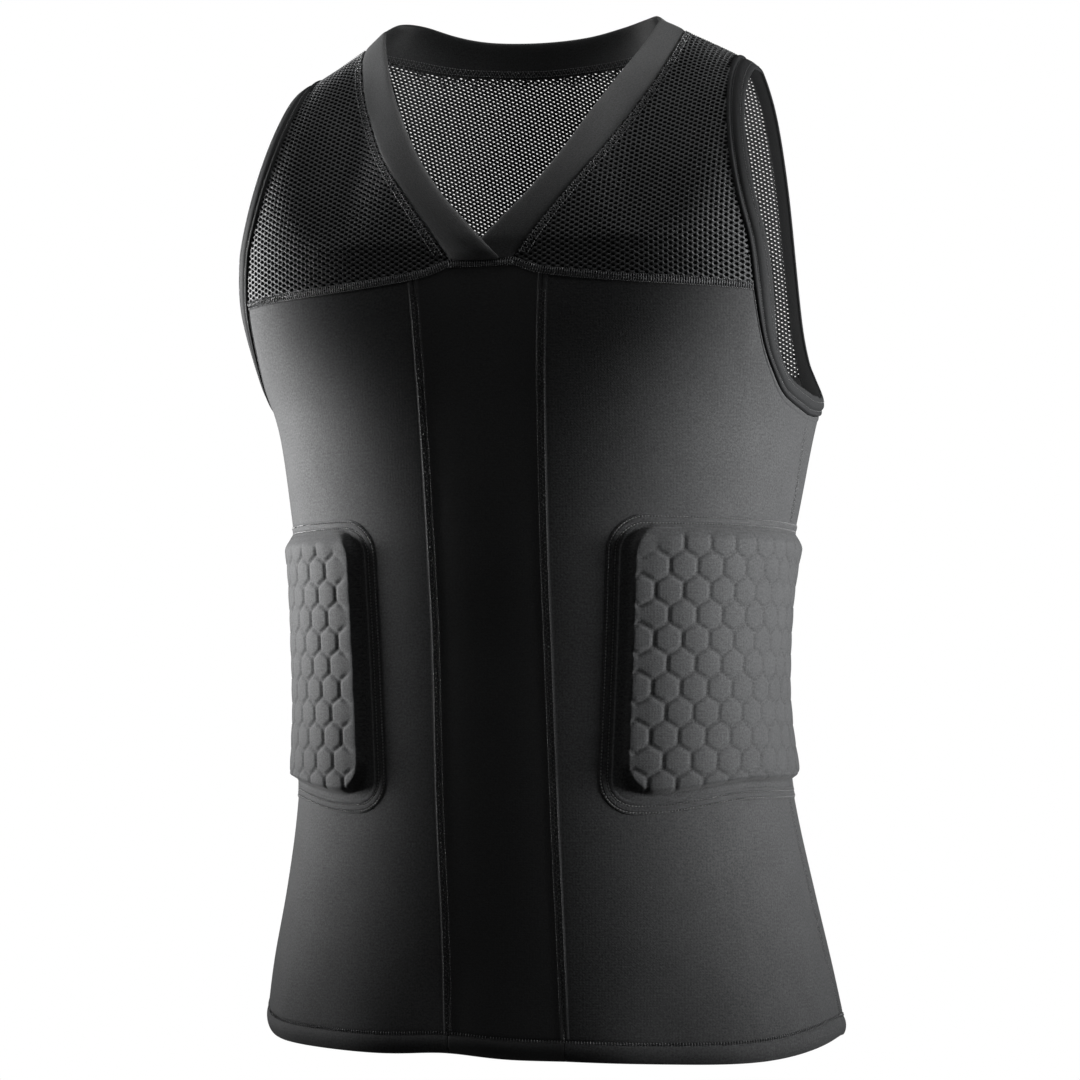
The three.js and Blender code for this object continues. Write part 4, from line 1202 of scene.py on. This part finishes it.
def settle(arc, z):
    """Leans the pad towards the front at its foot, and lifts its foot at the flank."""
    part = (PAD_TOP - z) / (PAD_TOP - PAD_BOTTOM)
    return arc - PAD_LEAN * part, z + PAD_SIDE_RISE * part * ease(*FLANK_RISE_SPAN, arc)


def pad_steps(length):
    """Steps across the pad, closer together along its sewn edges."""
    edge = np.arange(0, EDGE_REACH, EDGE_SPACING)
    count = int((length - 2 * EDGE_REACH) / PAD_SPACING) + 1
    return np.concatenate([edge, np.linspace(EDGE_REACH, length - EDGE_REACH, count), length - edge[::-1]])


def pad_relief(arc, z, from_edge, plain_side, plain_top):
    """How far the pad stands off the cloth, and how far a place is up on a hexagon, at flat places."""
    from_field = from_field_edge(arc, z)
    from_sides = PAD_WIDTH / 2 - np.abs(arc - PAD_START - PAD_WIDTH / 2) - INSET_FRONT
    from_top = PAD_TOP - INSET_TOP - z
    field = ease(0, FIELD_SLOPE, from_field) * ease(0, TOP_SLOPE, from_top)
    in_cell = from_cell_edge(arc, settle(arc, z)[1])
    groove = (1 - ease(*GROOVE_WALL, in_cell)) * ease(*GROOVE_START, from_field)
    groove *= ease(*plain_side, from_sides) * ease(*plain_top, from_top)
    groove *= ease(*PLAIN_CORNER, np.hypot(from_sides, from_top))
    groove_depth = mix(GROOVE_DEPTH, GROOVE_DEPTH_FLANK, ease(*FLANK_SPAN, arc))
    flange = np.interp(from_edge, PAD_FLANGE[:, 0], PAD_FLANGE[:, 1])
    swell = FIELD_RISE * field + CROWN_RISE * field * ease(*CROWN_SPAN, in_cell)
    return flange + swell - groove_depth * groove, field * (1 - groove)


flat_arc, flat_z, from_edge = pad_places(
    pad_steps(PAD_WIDTH)[None, :], pad_steps(PAD_TOP - PAD_BOTTOM)[:, None])
arc, z = settle(flat_arc, flat_z)
normals = outward(round_body, arc, z)
base = round_body(arc, z)
pad_finish, pad_tree, pad_shader, pad_colour = knit_finish(
    "pad knit", (0.023, 0.0234, 0.0242), (0.058, 0.059, 0.0605),
    courses=640, roughness=0.74, bump=0.6)
set_shader(pad_shader, Specular_IOR_Level=0.12, Sheen_Weight=0.08, Sheen_Roughness=0.5)
worn = node(pad_tree, "ShaderNodeAttribute", attribute_name="crown")
rub = node(pad_tree, "ShaderNodeMapRange", {
    "Value": worn.outputs["Fac"], "From Min": 0.2, "From Max": 1.0, "To Max": 0.3})
rubbed = blend_colours(pad_tree, rub.outputs[0], pad_colour, (0.055, 0.0565, 0.058))
add_lint(pad_tree, pad_shader, rubbed, amount=0.25)
pad_thread = thread_finish("pad thread", (0.075, 0.0765, 0.078))
# Near-black spindles sunk between the pad stitches: painted shade in the needle holes.
hole_shade_finish = thread_finish("needle hole shade", (0.004, 0.004, 0.004))
for side, name, node_name, *plain in (
        (1, "pad_left", "rib_pad_left", (2.8, 5.6), (4, 13)),
        (-1, "pad_right", "rib_pad_right", (6, 14), (9, 18))):
    flip = (side, 1, 1)
    rise, crown = pad_relief(flat_arc, flat_z, from_edge, *plain)
    outer = (base + normals * rise[..., None]) * flip
    inner = (base + normals * PAD_UNDERSIDE) * flip
    weave = np.stack([side * arc, z], axis=-1)
    pad = closed_cloth(name, outer, inner, weave, mirrored=side < 0, crown=crown)
    dress(pad, pad_finish, "pad_knit", node_name)
    rows, holes = [], []
    for inset in STITCH_INSETS:
        lap = np.linspace(inset, PAD_WIDTH - inset, RING_STEPS)
        fall = np.linspace(inset, PAD_TOP - PAD_BOTTOM - inset, RING_STEPS)
        still = np.ones(RING_STEPS)
        ring = pad_places(np.concatenate([lap, still * lap[-1], lap[::-1], still * lap[0]]),
                          np.concatenate([still * fall[0], fall, still * fall[-1], fall[::-1]]))
        ring_rise, _ = pad_relief(*ring, *plain)
        line, ring_normals = seam_line(round_body, *settle(*ring[:2]), ring_rise + STITCH_LIFT)
        apart = np.diff(way_along(line), prepend=-1) > 0.01
        line, ring_normals = line[apart] * flip, ring_normals[apart] * flip
        rows.append(sew(line, ring_normals, pitch=2.1, length=1.4, thickness=1.0))
        # These dark spindles are painted shade in the needle holes between the stitches.
        holes.append(sew(line - ring_normals * HOLE_SINK, ring_normals, pitch=2.1, length=0.9, thickness=1.0,
                         phase=0))
    end = "left" if side > 0 else "right"
    stitches(f"pad_stitches_{end}", rows, pad_thread, "pad_knit")
    stitches(f"pad_needle_hole_shade_{end}", holes, hole_shade_finish, "pad_knit")


# STUDIO
# A plain pale floor at standing height below the top, a white surround, and three soft lights: one on
# each side and one overhead. The camera stands low in front, towards the left.

FLOOR_SIZE, FLOOR_Z, SURROUND_LIGHT = 30, -1.4, 0.05
CAMERA_PLACE, CAMERA_TILT, CAMERA_TURN = (0.6593, -2.1184, -0.4648), 3.306, 16.976
WHITE = (1, 1, 1, 1)


def white_to_camera(tree, plain, white, output):
    """Shows white to the camera, while a plainer, dimmer shader lights the top."""
    seen = node(tree, "ShaderNodeLightPath").outputs["Is Camera Ray"]
    shown = node(tree, "ShaderNodeMixShader", {0: seen, 1: plain.outputs[0], 2: white.outputs[0]})
    tree.links.new(shown.outputs[0], tree.nodes[output].inputs["Surface"])


def soft_light(name, place, target, size, power, spread=180):
    lamp = bpy.data.lights.new(name, "AREA")
    lamp.shape = "RECTANGLE"
    lamp.size, lamp.size_y = size
    lamp.energy = power
    lamp.spread = math.radians(spread)
    light = bpy.data.objects.new(name, lamp)
    bpy.context.scene.collection.objects.link(light)
    light.location = place
    light.rotation_euler = (Vector(place) - Vector(target)).to_track_quat("Z", "Y").to_euler()


bm = bmesh.new()
bmesh.ops.create_grid(bm, x_segments=1, y_segments=1, size=FLOOR_SIZE)
bmesh.ops.translate(bm, verts=bm.verts, vec=(0, 0, FLOOR_Z))
floor_mesh = bpy.data.meshes.new("floor")
bm.to_mesh(floor_mesh)
bm.free()
floor = bpy.data.objects.new("floor", floor_mesh)
bpy.context.scene.collection.objects.link(floor)
floor_finish, floor_tree, floor_shader = new_finish("pale floor")
set_shader(floor_shader, Base_Color=(0.3, 0.3, 0.3, 1), Roughness=0.9, Specular_IOR_Level=0.1)
glow = node(floor_tree, "ShaderNodeEmission", {"Color": WHITE, "Strength": 1.0})
white_to_camera(floor_tree, floor_shader, glow, "Material Output")
floor_mesh.materials.append(floor_finish)

world = bpy.data.worlds.new("white surround")
world.use_nodes = True
bpy.context.scene.world = world
surround = world.node_tree
dim = surround.nodes["Background"]
dim.inputs["Color"].default_value = WHITE
dim.inputs["Strength"].default_value = SURROUND_LIGHT
white = node(surround, "ShaderNodeBackground", {"Color": WHITE, "Strength": 1.0})
white_to_camera(surround, dim, white, "World Output")

soft_light("side_left", (1.65, 0.17, -0.30), (0, 0.03, -0.30), size=(0.6, 0.4), power=4.8, spread=40)
soft_light("side_right", (-1.65, 0.17, -0.21), (0, 0.03, -0.21), size=(0.6, 0.4), power=5.8, spread=36)
soft_light("overhead", (0, -0.3, 1.3), (0, 0, -0.2), size=(1.6, 1.0), power=13)

camera_data = bpy.data.cameras.new("camera")
camera_data.lens = 112.5
camera_data.sensor_width = 36
camera = bpy.data.objects.new("camera", camera_data)
camera.location = CAMERA_PLACE
camera.rotation_euler = (math.radians(90 + CAMERA_TILT), 0, math.radians(CAMERA_TURN))
bpy.context.scene.collection.objects.link(camera)
bpy.context.scene.camera = camera
bpy.context.scene.view_settings.view_transform = "Standard"
